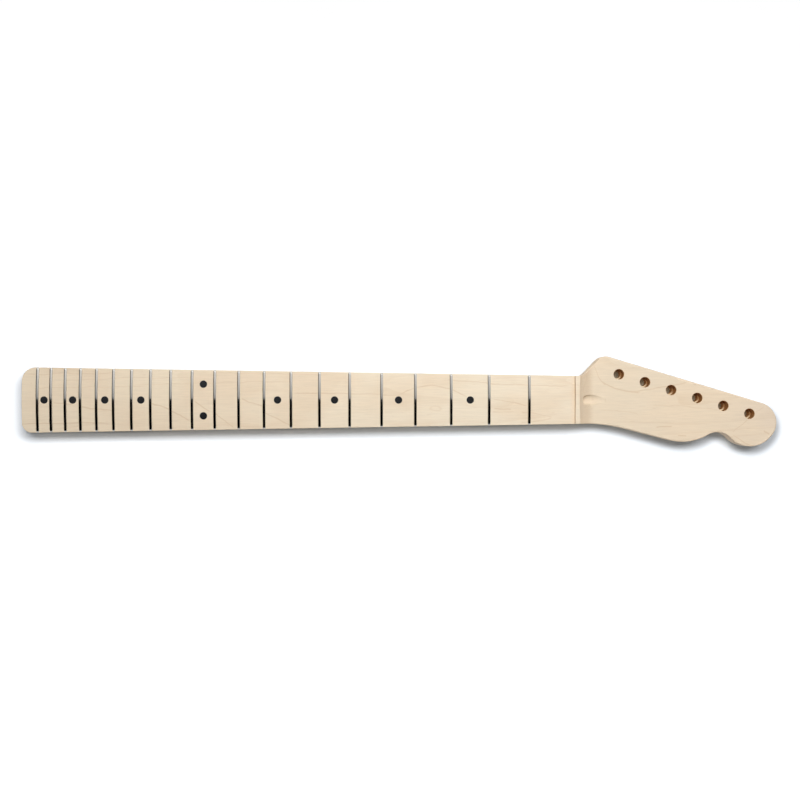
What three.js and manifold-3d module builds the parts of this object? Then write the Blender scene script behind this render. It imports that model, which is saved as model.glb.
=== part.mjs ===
// A bolt-on electric guitar neck in one piece of maple: 21 frets, a six-in-line head drilled for tuners,
// and a truss rod in a channel that a walnut fillet closes at the back. Millimetres, +Z up.
// +X runs from the heel to the head, +Y to the bass side, +Z out of the fretboard.
// The origin is the centre of the heel's flat seat, where the neck meets the guitar's body.

import * as THREE from "three";
import { mergeVertices } from "three/addons/utils/BufferGeometryUtils.js";
import Module from "manifold-3d";

const wasm = await Module();
wasm.setup();

// Fretboard
const SCALE_LENGTH = 647.7;
const FRET_COUNT = 21;
const NUT_WIDTH = 41.3;
const HEEL_WIDTH = 56;
const BOARD_RADIUS = 241.3;
const BOARD_OVERHANG = 13.4; // wood past the last fret
const EDGE_EASE = 0.4; // flat on each long edge of the fretboard

// Back of the neck
const HEEL_THICKNESS = 25.4;
const HEEL_SEAT_LENGTH = 76.2;
const HEEL_CORNER_BASS = 11.5;
const HEEL_CORNER_TREBLE = 8.3;
const HEEL_RUNOUT = 34; // length over which the square heel turns into the round back
const DEPTH_AT_FIRST = 20.8; // fretboard to back, at the first fret
const DEPTH_AT_TWELFTH = 22.5;
const FLANK_HEIGHT = 5; // upright side below the fretboard's edge
const BACK_ROUNDNESS = 2.2; // exponent of the back's curve: 2 is an ellipse

// Nut slot and head
const NUT_SLOT_WIDTH = 3.2;
const NUT_SLOT_DEPTH = 3.2;
const NUT_LIP_WIDTH = 3.4;
const COVE_LENGTH = 16;
const HEAD_DROP = 7.1; // fretboard down to the head's face
const HEAD_THICKNESS = 14.3;
const HEAD_RUNOUT = 29; // length over which the round back turns into the head's flat back

// Tuner bores, along a line that leans to the treble side
const TUNER_COUNT = 6;
const TUNER_PITCH = 23.57;
const TUNER_LINE_ANGLE = THREE.MathUtils.degToRad(-16.75);
const FIRST_TUNER_FROM_NUT = 41.95;
const FIRST_TUNER_FROM_CENTRE = 22.1;
const BUSHING_BORE = 8.73;
const BUSHING_BORE_DEPTH = 8.3;
const POST_BORE = 6.35;

// Rounds of the head's outline
const TUNER_EDGE_MARGIN = 12; // tuner line to the straight edge
const LOBE_BEFORE_FIRST_TUNER = 12.5;
const LOBE_RADIUS = 9.4;
const TIP_PAST_LAST_TUNER = 8;
const TIP_RADIUS = 17.6;
const TIP_HEEL_RADIUS = 23.3; // the wider round below the tip
const TIP_HEEL_LEAN = THREE.MathUtils.degToRad(27.5); // from the neck's axis to where those two rounds meet
const NOTCH_RADIUS = 15.3;
const BELLY_FROM_NUT = 97.2;
const BELLY_REACH = 36.1;
const BELLY_RADIUS = 43.3;
const SWEEP_RADIUS = 154; // long hollow from the treble edge
const SWEEP_STRAIGHT = 38; // straight run from that hollow to the belly
const SHOULDER_FROM_NUT = 5.8; // small hollow from the bass edge to the lobe
const SHOULDER_RADIUS = 10;

// Frets
const CROWN_WIDTH = 2.6;
const CROWN_HEIGHT = 1.1;
const TANG_WIDTH = 0.5;
const TANG_DEPTH = 1.5;
const FRET_BEVEL = 1.1; // length of the filed slope at each end of a crown
const FRET_END_HEIGHT_SHARE = 1 / 3; // of the crown's height, at the foot of that slope
const FRET_END_INSET = 0.15;

// Position dots
const FACE_DOT_DIAMETER = 6.35;
const FACE_DOT_THICKNESS = 1.5;
const TWELFTH_DOT_SPACING = 27;
const SIDE_DOT_DIAMETER = 2;
const SIDE_DOT_THICKNESS = 2;
const SIDE_DOT_BELOW_EDGE = 2.6;
const SIDE_TWELFTH_SPACING = 7;
const DOT_FRETS = [3, 5, 7, 9, 12, 15, 17, 19, 21];
const DOUBLE_DOT_FRET = 12;

// Truss rod
const ROD_DIAMETER = 4.76;
const ROD_BELOW_BOARD = 10; // fretboard down to the rod's axis
const BLOCK_WALL = 0.6; // brass beside the rod
const BLOCK_HEIGHT = 6.6;
const BLOCK_LENGTH = 12;
const BAR_THICKNESS = 3;
const ROD_NUT_DIAMETER = 8;
const HEX_SIDES = 6;
const HEX_ACROSS_FLATS = 4;
const HEX_DEPTH = 7;
const ROD_NUT_WEB = 2;
const ROD_ENGAGEMENT = 5; // rod brazed into the nut
const ROD_NUT_FROM_NUT_LINE = 1; // mouth of the hex socket, behind the nut line
const ROD_END_FROM_SEAT = 12; // end of the rod's channel, ahead of the heel's seat
const KEY_ANGLE = THREE.MathUtils.degToRad(16); // slope of the key's scoop

// Fits
const SEAT_GAP = 0.04; // fret crown on the fretboard, fret tang and dots in the wood
const GLUE_GAP = 0.06;
const RUNNING_GAP = 0.1;
const ROD_NUT_GAP = 0.25;
const CUT_OVERRUN = 1;

// Facets
const BOARD_FACETS = 8;
const BACK_FACETS = 16;
const CORNER_FACETS = 5;
const RUNOUT_FACETS = 8;
const SHAFT_FACETS = 6;
const CROWN_FACETS = 6;
const BORE_FACETS = 20;
const DOT_FACETS = 20;
const SIDE_DOT_FACETS = 10;
const ROD_FACETS = 16;
const COVE_FACETS = 8;
const OUTLINE_STEP = THREE.MathUtils.degToRad(7);
const OUTLINE_MERGE = 0.04; // points of an outline closer than this are one

// Heights and places that the sizes above give
const FRETS_PER_OCTAVE = 12;
const FRET_RATIO = 2 ** (1 / FRETS_PER_OCTAVE);
const fretFromNut = (fret) => SCALE_LENGTH * (1 - FRET_RATIO ** -fret);
const HEEL_END_X = -HEEL_SEAT_LENGTH / 2;
const HEEL_FRONT_X = HEEL_SEAT_LENGTH / 2;
const NUT_X = HEEL_END_X + BOARD_OVERHANG + fretFromNut(FRET_COUNT);
const BOARD_TOP = HEEL_THICKNESS;
const HEAD_FACE = BOARD_TOP - HEAD_DROP;
const HEAD_BACK = HEAD_FACE - HEAD_THICKNESS;
const fretX = (fret) => NUT_X - fretFromNut(fret);

const { clamp, lerp, smoothstep } = THREE.MathUtils;
const eased = (from, length, x) => smoothstep(x, from, from + length);

// Solids

// A closed mesh with shared corners, as a solid that can be joined and cut.
function solidOf(geometry) {
  const bare = new THREE.BufferGeometry();
  bare.setAttribute("position", geometry.getAttribute("position"));
  bare.setIndex(geometry.getIndex());
  const merged = mergeVertices(bare);
  return new wasm.Manifold(
    new wasm.Mesh({
      numProp: 3,
      vertProperties: merged.getAttribute("position").array,
      triVerts: new Uint32Array(merged.getIndex().array),
    }),
  );
}

function meshOf(name, solid, material) {
  const { vertProperties, triVerts } = solid.getMesh();
  const geometry = new THREE.BufferGeometry();
  geometry.setAttribute("position", new THREE.BufferAttribute(vertProperties, 3));
  geometry.setIndex(new THREE.BufferAttribute(triVerts, 1));
  const mesh = new THREE.Mesh(geometry.toNonIndexed(), material);
  mesh.geometry.computeVertexNormals();
  mesh.name = name;
  return mesh;
}

// A closed skin over outlines of equal point counts, one at each station. Each outline turns from the
// place's first axis to its second, and the stations rise along the third.
function loft(stations, outlineAt, place) {
  const rings = stations.map((station) => outlineAt(station));
  const count = rings[0].length;
  const positions = rings.flatMap((ring, i) => ring.flatMap((p) => place(p, stations[i]).toArray()));
  const faces = [];
  for (let i = 0; i + 1 < rings.length; i++)
    for (let j = 0; j < count; j++) {
      const next = (j + 1) % count;
      const [a, b] = [i * count + j, i * count + next];
      faces.push(a, b, b + count, a, b + count, a + count);
    }
  const last = (rings.length - 1) * count;
  for (const [a, b, c] of THREE.ShapeUtils.triangulateShape(rings[0], [])) faces.push(a, c, b);
  for (const [a, b, c] of THREE.ShapeUtils.triangulateShape(rings.at(-1), []))
    faces.push(last + a, last + b, last + c);
  const geometry = new THREE.BufferGeometry();
  geometry.setAttribute("position", new THREE.Float32BufferAttribute(positions, 3));
  geometry.setIndex(faces);
  return geometry;
}

// An outline in the plan view, raised from one height to another.
function prism(points, low, high) {
  const geometry = new THREE.ExtrudeGeometry(new THREE.Shape(points), {
    depth: high - low,
    bevelEnabled: false,
    curveSegments: 1,
  });
  return solidOf(geometry.translate(0, 0, low));
}

function block(lowCorner, highCorner) {
  const size = new THREE.Vector3().subVectors(highCorner, lowCorner);
  const middle = new THREE.Vector3().addVectors(lowCorner, highCorner).divideScalar(2);
  return solidOf(new THREE.BoxGeometry(...size).translate(...middle));
}

// A round bar between two points.
function roundBar(from, to, diameter, facets) {
  const span = new THREE.Vector3().subVectors(to, from);
  const turn = new THREE.Quaternion().setFromUnitVectors(
    new THREE.Vector3(0, 1, 0),
    span.clone().normalize(),
  );
  const geometry = new THREE.CylinderGeometry(diameter / 2, diameter / 2, span.length(), facets);
  geometry.applyQuaternion(turn);
  return solidOf(geometry.translate(...from.clone().addScaledVector(span, 1 / 2)));
}

// Neck: the long shape

const boardHalfWidth = (x) =>
  lerp(NUT_WIDTH, HEEL_WIDTH, (NUT_X - x) / (NUT_X - HEEL_END_X)) / 2;

// How far the arched fretboard has dropped at a distance from the centreline.
const boardDrop = (y) => BOARD_RADIUS - Math.sqrt(BOARD_RADIUS ** 2 - y ** 2);

const boardHeight = (x, y) => BOARD_TOP - boardDrop(Math.min(Math.abs(y), boardHalfWidth(x)));

// Distance from the centreline to the side of the blank: the fretboard's edge, rounded in at the heel's
// corners. Past the nut it spreads to the head's reach, and the head's outline cuts it.
function blankHalfWidth(x, side, headReach) {
  const corner = side > 0 ? HEEL_CORNER_BASS : HEEL_CORNER_TREBLE;
  const intoCorner = clamp(HEEL_END_X + corner - x, 0, corner);
  const rounding = corner - Math.sqrt(corner ** 2 - intoCorner ** 2);
  return lerp(boardHalfWidth(x), headReach, eased(NUT_X, HEAD_RUNOUT, x)) - rounding;
}

function backHeight(x) {
  const taper = (fretX(1) - x) / (fretX(1) - fretX(12));
  const shaft = BOARD_TOP - lerp(DEPTH_AT_FIRST, DEPTH_AT_TWELFTH, taper);
  const fromHeel = shaft * eased(HEEL_FRONT_X, HEEL_RUNOUT, x);
  return lerp(fromHeel, HEAD_BACK, eased(NUT_X, HEAD_RUNOUT, x));
}

// The height at which the upright flank gives way to the back's curve.
function flankFoot(x) {
  const shaft = BOARD_TOP - boardDrop(boardHalfWidth(x)) - FLANK_HEIGHT;
  return lerp(shaft, HEAD_BACK, eased(NUT_X, HEAD_RUNOUT, x));
}

// The section across the neck: arched on top, upright flanks, and a back that is square at the heel and
// round along the shaft.
function neckSection(x, headReach) {
  const bass = blankHalfWidth(x, 1, headReach);
  const treble = blankHalfWidth(x, -1, headReach);
  const low = backHeight(x);
  const foot = flankFoot(x);
  const roundness = eased(HEEL_FRONT_X, HEEL_RUNOUT, x);
  const points = [];
  for (let i = 0; i <= BACK_FACETS; i++) {
    const turn = (Math.PI * i) / BACK_FACETS;
    const [across, down] = [-Math.cos(turn), Math.sin(turn)];
    const corner = Math.max(Math.abs(across), down);
    const round = (value) => Math.sign(value) * Math.abs(value) ** (2 / BACK_ROUNDNESS);
    const y = lerp(across / corner, round(across), roundness);
    const z = lerp(down / corner, round(down), roundness);
    points.push(new THREE.Vector2(y * (y > 0 ? bass : treble), lerp(foot, low, z)));
  }
  points.push(new THREE.Vector2(bass, boardHeight(x, bass) - EDGE_EASE));
  for (let i = 0; i <= BOARD_FACETS; i++) {
    const share = 1 - (2 * i) / BOARD_FACETS;
    const y = share * ((share > 0 ? bass : treble) - EDGE_EASE);
    points.push(new THREE.Vector2(y, boardHeight(x, y)));
  }
  points.push(new THREE.Vector2(-treble, boardHeight(x, treble) - EDGE_EASE));
  return points;
}

function spaced(from, to, steps) {
  return Array.from({ length: steps + 1 }, (_, i) => lerp(from, to, i / steps));
}

// Sections close together where the shape turns: at the heel's corners and in both runouts.
function neckStations(headEnd) {
  const cornerSteps = spaced(0, Math.PI / 2, CORNER_FACETS).flatMap((turn) =>
    [HEEL_CORNER_BASS, HEEL_CORNER_TREBLE].map((r) => HEEL_END_X + r * (1 - Math.cos(turn))),
  );
  const stations = [
    ...cornerSteps,
    ...spaced(HEEL_FRONT_X, HEEL_FRONT_X + HEEL_RUNOUT, RUNOUT_FACETS),
    ...spaced(HEEL_FRONT_X + HEEL_RUNOUT, NUT_X, SHAFT_FACETS),
    ...spaced(NUT_X, NUT_X + HEAD_RUNOUT, RUNOUT_FACETS),
    headEnd,
  ].sort((a, b) => a - b);
  const apart = EDGE_EASE / 2;
  return stations.filter((x, i) => i === 0 || x - stations[i - 1] > apart || x === headEnd);
}

// Neck: the head's outline

const plan = (fromNut, fromCentre) => new THREE.Vector2(NUT_X + fromNut, fromCentre);
const alongTuners = new THREE.Vector2(Math.cos(TUNER_LINE_ANGLE), Math.sin(TUNER_LINE_ANGLE));
const toTunerEdge = new THREE.Vector2(-alongTuners.y, alongTuners.x);
const firstTuner = plan(FIRST_TUNER_FROM_NUT, FIRST_TUNER_FROM_CENTRE);
const tunerPlace = (index) => firstTuner.clone().addScaledVector(alongTuners, index * TUNER_PITCH);

// A round of the outline under the straight tuner edge.
function roundAtTunerEdge(pastFirst, radius) {
  const centre = firstTuner
    .clone()
    .addScaledVector(alongTuners, pastFirst)
    .addScaledVector(toTunerEdge, TUNER_EDGE_MARGIN - radius);
  return { centre, radius, bulge: 1 };
}

// The belly comes as far from the centreline, on the treble side, as its reach.
const bellyCentre = plan(BELLY_FROM_NUT, BELLY_RADIUS - BELLY_REACH);
const belly = { centre: bellyCentre, radius: BELLY_RADIUS, bulge: 1 };

// A round that holds a smaller one and touches it from inside, where the lean points.
function roundAround(inner, radius, lean) {
  const outward = new THREE.Vector2(Math.cos(lean), -Math.sin(lean));
  const centre = inner.centre.clone().addScaledVector(outward, inner.radius - radius);
  return { centre, radius, bulge: 1 };
}

// A hollow that touches two rounds, on the treble side of both.
function hollowBetween(first, second, radius) {
  const span = new THREE.Vector2().subVectors(second.centre, first.centre);
  const length = span.length();
  const [fromFirst, fromSecond] = [first.radius + radius, second.radius + radius];
  const along = (length ** 2 + fromFirst ** 2 - fromSecond ** 2) / (2 * length);
  const away = Math.sqrt(fromFirst ** 2 - along ** 2);
  span.divideScalar(length);
  const outward = new THREE.Vector2(span.y, -span.x);
  const centre = first.centre.clone().addScaledVector(span, along).addScaledVector(outward, away);
  return { centre, radius, bulge: -1 };
}

// The lean of the fretboard's long edges to the centreline.
const EDGE_LEAN = Math.atan((HEEL_WIDTH - NUT_WIDTH) / 2 / (NUT_X - HEEL_END_X));

// A hollow that leaves the fretboard's bass edge smoothly.
function hollowAtBassEdge(fromNut, radius) {
  const reach = boardHalfWidth(NUT_X + fromNut) + radius / Math.cos(EDGE_LEAN);
  return { centre: plan(fromNut, reach), radius, bulge: -1 };
}

// A hollow that leaves the fretboard's treble edge smoothly, and runs straight into a round for the given
// length.
function sweepInto(round, radius, straight) {
  const edge = plan(0, -NUT_WIDTH / 2);
  const along = new THREE.Vector2(Math.cos(EDGE_LEAN), Math.sin(EDGE_LEAN));
  const inward = new THREE.Vector2(-along.y, along.x);
  const toRound = new THREE.Vector2().subVectors(round.centre, edge);
  const apart = (radius + round.radius) ** 2 + straight ** 2 - (radius + toRound.dot(inward)) ** 2;
  const foot = edge.addScaledVector(along, toRound.dot(along) - Math.sqrt(apart));
  const centre = foot.addScaledVector(inward, -radius);
  return { centre, radius, bulge: -1 };
}

// The edge as a belt around rounds: straight from the first point, round each of them in turn, to the last
// point. The belt goes counterclockwise, with its bulges on the inside and its hollows on the outside.
function beltOutline(start, rounds, end) {
  const point = (centre) => ({ centre, radius: 0, bulge: 1 });
  const stops = [point(start), ...rounds, point(end)];
  const normals = stops.slice(1).map((to, i) => {
    const from = stops[i];
    const span = new THREE.Vector2().subVectors(to.centre, from.centre);
    const gain = to.bulge * to.radius - from.bulge * from.radius;
    const heading = span.angle() - Math.asin(clamp(gain / span.length(), -1, 1));
    return new THREE.Vector2(Math.sin(heading), -Math.cos(heading));
  });
  const points = [start];
  rounds.forEach(({ centre, radius, bulge }, i) => {
    const from = normals[i].angle();
    const between = bulge * (normals[i + 1].angle() - from);
    const turn = bulge * THREE.MathUtils.euclideanModulo(between, 2 * Math.PI);
    const steps = Math.max(2, Math.ceil(Math.abs(turn) / OUTLINE_STEP));
    for (const angle of spaced(from, from + turn, steps)) {
      const radial = new THREE.Vector2(Math.cos(angle), Math.sin(angle));
      points.push(radial.multiplyScalar(bulge * radius).add(centre));
    }
  });
  points.push(end);
  return points.filter((p, i) => i === 0 || p.distanceTo(points[i - 1]) > OUTLINE_MERGE);
}

function headOutline() {
  const edgePoint = (side) => plan(-CUT_OVERRUN, side * boardHalfWidth(NUT_X - CUT_OVERRUN));
  const tip = roundAtTunerEdge((TUNER_COUNT - 1) * TUNER_PITCH + TIP_PAST_LAST_TUNER, TIP_RADIUS);
  const tipHeel = roundAround(tip, TIP_HEEL_RADIUS, TIP_HEEL_LEAN);
  return beltOutline(
    edgePoint(-1),
    [
      sweepInto(belly, SWEEP_RADIUS, SWEEP_STRAIGHT),
      belly,
      hollowBetween(belly, tipHeel, NOTCH_RADIUS),
      tipHeel,
      tip,
      roundAtTunerEdge(-LOBE_BEFORE_FIRST_TUNER, LOBE_RADIUS),
      hollowAtBassEdge(SHOULDER_FROM_NUT, SHOULDER_RADIUS),
    ],
    edgePoint(1),
  );
}

const outlineOfHead = headOutline();
const HEAD_REACH = Math.max(...outlineOfHead.map((p) => Math.abs(p.y)));
const HEAD_END_X = Math.max(...outlineOfHead.map((p) => p.x));

// The blank: the long shape, cut to the head's outline past the nut.
function neckBlank() {
  const skin = loft(
    neckStations(HEAD_END_X + CUT_OVERRUN),
    (x) => neckSection(x, HEAD_REACH + CUT_OVERRUN),
    (p, x) => new THREE.Vector3(x, p.x, p.y),
  );
  const side = HEEL_WIDTH / 2 + CUT_OVERRUN;
  const [under, over] = [-CUT_OVERRUN, BOARD_TOP + CUT_OVERRUN];
  const shaftRegion = block(
    new THREE.Vector3(HEEL_END_X - CUT_OVERRUN, -side, under),
    new THREE.Vector3(NUT_X, side, over),
  );
  const headRegion = prism(outlineOfHead, under, over);
  return solidOf(skin).intersect(shaftRegion.add(headRegion));
}

// Neck: what is cut from it

// Everything above the head's face, up the cove to the lip behind the nut slot.
function headRelief() {
  const lip = NUT_X + NUT_SLOT_WIDTH + NUT_LIP_WIDTH;
  const radius = (COVE_LENGTH ** 2 + HEAD_DROP ** 2) / (2 * HEAD_DROP);
  const coveEnd = lip + COVE_LENGTH;
  const sweep = Math.asin(COVE_LENGTH / radius);
  const cove = spaced(sweep, 0, COVE_FACETS).map(
    (turn) =>
      new THREE.Vector2(
        coveEnd - radius * Math.sin(turn),
        HEAD_FACE + radius * (1 - Math.cos(turn)),
      ),
  );
  const far = HEAD_END_X + CUT_OVERRUN;
  const side = HEAD_REACH + CUT_OVERRUN;
  const above = BOARD_TOP + CUT_OVERRUN;
  const profile = [
    ...cove,
    new THREE.Vector2(far, HEAD_FACE),
    new THREE.Vector2(far, above),
    new THREE.Vector2(lip - (above - BOARD_TOP) / Math.tan(sweep), above),
  ];
  const cutter = loft(
    [-side, side],
    () => profile,
    (p, y) => new THREE.Vector3(p.x, -y, p.y),
  );
  return solidOf(cutter);
}

function nutSlot() {
  const side = NUT_WIDTH / 2 + CUT_OVERRUN;
  return block(
    new THREE.Vector3(NUT_X, -side, BOARD_TOP - NUT_SLOT_DEPTH),
    new THREE.Vector3(NUT_X + NUT_SLOT_WIDTH, side, BOARD_TOP + CUT_OVERRUN),
  );
}

// A tuner's bore: wide for the bushing from the face, narrow for the post through to the back.
function tunerBore(index) {
  const step = HEAD_FACE - BUSHING_BORE_DEPTH;
  const [low, high] = [HEAD_BACK - CUT_OVERRUN, HEAD_FACE + CUT_OVERRUN];
  const profile = [
    [0, low],
    [POST_BORE / 2, low],
    [POST_BORE / 2, step],
    [BUSHING_BORE / 2, step],
    [BUSHING_BORE / 2, high],
    [0, high],
  ].map(([r, z]) => new THREE.Vector2(r, z));
  const place = tunerPlace(index);
  const bore = new THREE.LatheGeometry(profile, BORE_FACETS).rotateX(Math.PI / 2);
  return solidOf(bore.translate(place.x, place.y, 0));
}

// Truss rod: places

const ROD_AXIS = BOARD_TOP - ROD_BELOW_BOARD;
const ROD_BORE = ROD_DIAMETER + 2 * RUNNING_GAP;
const BLOCK_WIDTH = ROD_BORE + 2 * BLOCK_WALL;
const CHANNEL_WIDTH = BLOCK_WIDTH + 2 * GLUE_GAP;
const CHANNEL_CEILING = ROD_AXIS + BLOCK_HEIGHT / 2 + RUNNING_GAP;
const BAR_TOP = ROD_AXIS - BLOCK_HEIGHT / 2 - GLUE_GAP;
const BAR_BOTTOM = BAR_TOP - BAR_THICKNESS;
const FILLET_TOP = BAR_BOTTOM - GLUE_GAP;
const ROD_NUT_LENGTH = HEX_DEPTH + ROD_NUT_WEB + ROD_ENGAGEMENT;
const ROD_NUT_MOUTH_X = NUT_X - ROD_NUT_FROM_NUT_LINE;
const ROD_NUT_REAR_X = ROD_NUT_MOUTH_X - ROD_NUT_LENGTH;
const HEAD_BLOCK_X = ROD_NUT_REAR_X - RUNNING_GAP;
const CHANNEL_HEAD_X = HEAD_BLOCK_X + CHANNEL_WIDTH / 2;
const CHANNEL_HEEL_X = HEEL_FRONT_X + ROD_END_FROM_SEAT;
const HEEL_BLOCK_X = CHANNEL_HEEL_X + CHANNEL_WIDTH / 2;
const KEY_BORE = ROD_NUT_DIAMETER + 2 * ROD_NUT_GAP;
const KEY_RISE = HEAD_FACE - ROD_AXIS + KEY_BORE; // from the rod's axis to clear of the head's face
const onRodAxis = (x) => new THREE.Vector3(x, 0, ROD_AXIS);

// A slot with round ends, as a router leaves it.
function routedSlot(inset, low, high) {
  const radius = CHANNEL_WIDTH / 2 - inset;
  const ends = [
    [CHANNEL_HEAD_X - inset - radius, -Math.PI / 2],
    [CHANNEL_HEEL_X + inset + radius, Math.PI / 2],
  ];
  const points = ends.flatMap(([x, from]) =>
    spaced(from, from + Math.PI, ROD_FACETS / 2).map(
      (turn) => new THREE.Vector2(x + radius * Math.cos(turn), radius * Math.sin(turn)),
    ),
  );
  return prism(points, low, high);
}

// The rod's channel from the back, the bore that the nut turns in, and the sloping bore for its key.
function rodSpace() {
  const channel = routedSlot(0, -CUT_OVERRUN, CHANNEL_CEILING);
  const nutBore = roundBar(onRodAxis(HEAD_BLOCK_X), onRodAxis(NUT_X), KEY_BORE, BORE_FACETS);
  const slope = new THREE.Vector3(Math.cos(KEY_ANGLE), 0, Math.sin(KEY_ANGLE));
  const keyBore = roundBar(
    onRodAxis(NUT_X).addScaledVector(slope, -ROD_NUT_FROM_NUT_LINE / 2),
    onRodAxis(NUT_X).addScaledVector(slope, KEY_RISE / Math.sin(KEY_ANGLE)),
    KEY_BORE,
    BORE_FACETS,
  );
  return channel.add(nutBore).add(keyBore);
}

// Frets

const CROWN_FEET = CROWN_WIDTH / 2;

function crownProfile(size) {
  return spaced(0, Math.PI, CROWN_FACETS).map(
    (turn) => new THREE.Vector2(CROWN_FEET * Math.cos(turn), CROWN_HEIGHT * size * Math.sin(turn)),
  );
}

// Across the board, a fret's sections stand where the board's own facets meet, so that it lies on them.
function acrossBoard(x, inset) {
  const half = boardHalfWidth(x);
  const end = half - inset;
  const knees = spaced(-1, 1, BOARD_FACETS).map((share) => share * (half - EDGE_EASE));
  const inner = knees.filter((y) => Math.abs(y) < end - FRET_BEVEL);
  return { end, inner };
}

function fret(number) {
  const x = fretX(number);
  const { end, inner } = acrossBoard(x, FRET_END_INSET);
  const stations = [-end, -end + FRET_BEVEL, ...inner, end - FRET_BEVEL, end];
  const section = (y) => {
    const size = Math.abs(y) === end ? FRET_END_HEIGHT_SHARE : 1;
    return [
      new THREE.Vector2(-TANG_WIDTH / 2, -TANG_DEPTH),
      new THREE.Vector2(TANG_WIDTH / 2, -TANG_DEPTH),
      new THREE.Vector2(TANG_WIDTH / 2, 0),
      ...crownProfile(size),
      new THREE.Vector2(-TANG_WIDTH / 2, 0),
    ];
  };
  const lift = (y) => BOARD_TOP - boardDrop(y) + SEAT_GAP;
  return solidOf(loft(stations, section, (p, y) => new THREE.Vector3(x - p.x, y, lift(y) + p.y)));
}

function fretSlot(number) {
  const x = fretX(number);
  const { inner } = acrossBoard(x, FRET_END_INSET);
  const out = boardHalfWidth(x) + CUT_OVERRUN;
  const half = TANG_WIDTH / 2 + SEAT_GAP;
  const section = () => [
    new THREE.Vector2(-half, -TANG_DEPTH - SEAT_GAP),
    new THREE.Vector2(half, -TANG_DEPTH - SEAT_GAP),
    new THREE.Vector2(half, CUT_OVERRUN),
    new THREE.Vector2(-half, CUT_OVERRUN),
  ];
  const lift = (y) => BOARD_TOP - boardDrop(y);
  const place = (p, y) => new THREE.Vector3(x - p.x, y, lift(y) + p.y);
  return solidOf(loft([-out, ...inner, out], section, place));
}

// Position dots

const betweenFrets = (number) => (fretX(number) + fretX(number - 1)) / 2;
const twoDigits = (number) => String(number).padStart(2, "0");

// The places of the face dots: on the centreline, and a pair at the twelfth fret.
function faceDotPlaces() {
  return DOT_FRETS.flatMap((number) => {
    const x = betweenFrets(number);
    const name = "dot_" + twoDigits(number);
    if (number !== DOUBLE_DOT_FRET) return [{ name, x, y: 0 }];
    const y = TWELFTH_DOT_SPACING / 2;
    return [
      { name: name + "_bass", x, y },
      { name: name + "_treble", x, y: -y },
    ];
  });
}

function sideDotPlaces() {
  return DOT_FRETS.flatMap((number) => {
    const x = betweenFrets(number);
    const name = "side_dot_" + twoDigits(number);
    if (number !== DOUBLE_DOT_FRET) return [{ name, x }];
    return [
      { name: name + "_heel", x: x - SIDE_TWELFTH_SPACING / 2 },
      { name: name + "_head", x: x + SIDE_TWELFTH_SPACING / 2 },
    ];
  });
}

// The pocket of a dot, or with an inset the plug that fits it. The plug's face is cut to the board later.
function faceDotPlug({ x, y }, inset) {
  const floor = boardHeight(x, Math.abs(y) + FACE_DOT_DIAMETER / 2) - FACE_DOT_THICKNESS + inset;
  return roundBar(
    new THREE.Vector3(x, y, floor),
    new THREE.Vector3(x, y, BOARD_TOP + CUT_OVERRUN),
    FACE_DOT_DIAMETER - 2 * inset,
    DOT_FACETS,
  );
}

function sideDotPlug({ x }, inset) {
  const face = boardHalfWidth(x);
  const z = boardHeight(x, face) - SIDE_DOT_BELOW_EDGE;
  return roundBar(
    new THREE.Vector3(x, face - SIDE_DOT_THICKNESS + inset, z),
    new THREE.Vector3(x, face + CUT_OVERRUN, z),
    SIDE_DOT_DIAMETER - 2 * inset,
    SIDE_DOT_FACETS,
  );
}

// Truss rod: pieces

function trussRod() {
  const toNut = ROD_NUT_REAR_X + ROD_ENGAGEMENT - GLUE_GAP;
  return roundBar(onRodAxis(HEEL_BLOCK_X + RUNNING_GAP), onRodAxis(toNut), ROD_DIAMETER, ROD_FACETS);
}

// The nut at the rod's end: a round barrel with a hex socket towards the head and the rod brazed in behind.
function trussRodNut() {
  const barrel = roundBar(
    onRodAxis(ROD_NUT_REAR_X),
    onRodAxis(ROD_NUT_MOUTH_X),
    ROD_NUT_DIAMETER,
    BORE_FACETS,
  );
  const hexCorners = HEX_ACROSS_FLATS / Math.cos(Math.PI / HEX_SIDES);
  const socket = roundBar(
    onRodAxis(ROD_NUT_MOUTH_X - HEX_DEPTH),
    onRodAxis(ROD_NUT_MOUTH_X + CUT_OVERRUN),
    hexCorners,
    HEX_SIDES,
  );
  const rodSeat = roundBar(
    onRodAxis(ROD_NUT_REAR_X - CUT_OVERRUN),
    onRodAxis(ROD_NUT_REAR_X + ROD_ENGAGEMENT),
    ROD_DIAMETER + 2 * GLUE_GAP,
    ROD_FACETS,
  );
  return barrel.subtract(socket).subtract(rodSeat);
}

// A brass block that the rod runs through. It stands on the flat bar.
function rodBlock(lowX) {
  const highX = lowX + BLOCK_LENGTH;
  const body = block(
    new THREE.Vector3(lowX, -BLOCK_WIDTH / 2, ROD_AXIS - BLOCK_HEIGHT / 2),
    new THREE.Vector3(highX, BLOCK_WIDTH / 2, ROD_AXIS + BLOCK_HEIGHT / 2),
  );
  const bore = roundBar(
    onRodAxis(lowX - CUT_OVERRUN),
    onRodAxis(highX + CUT_OVERRUN),
    ROD_BORE,
    BORE_FACETS,
  );
  return body.subtract(bore);
}

function flatBar() {
  return block(
    new THREE.Vector3(HEEL_BLOCK_X, -BLOCK_WIDTH / 2, BAR_BOTTOM),
    new THREE.Vector3(HEAD_BLOCK_X, BLOCK_WIDTH / 2, BAR_TOP),
  );
}

// Materials

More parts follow.
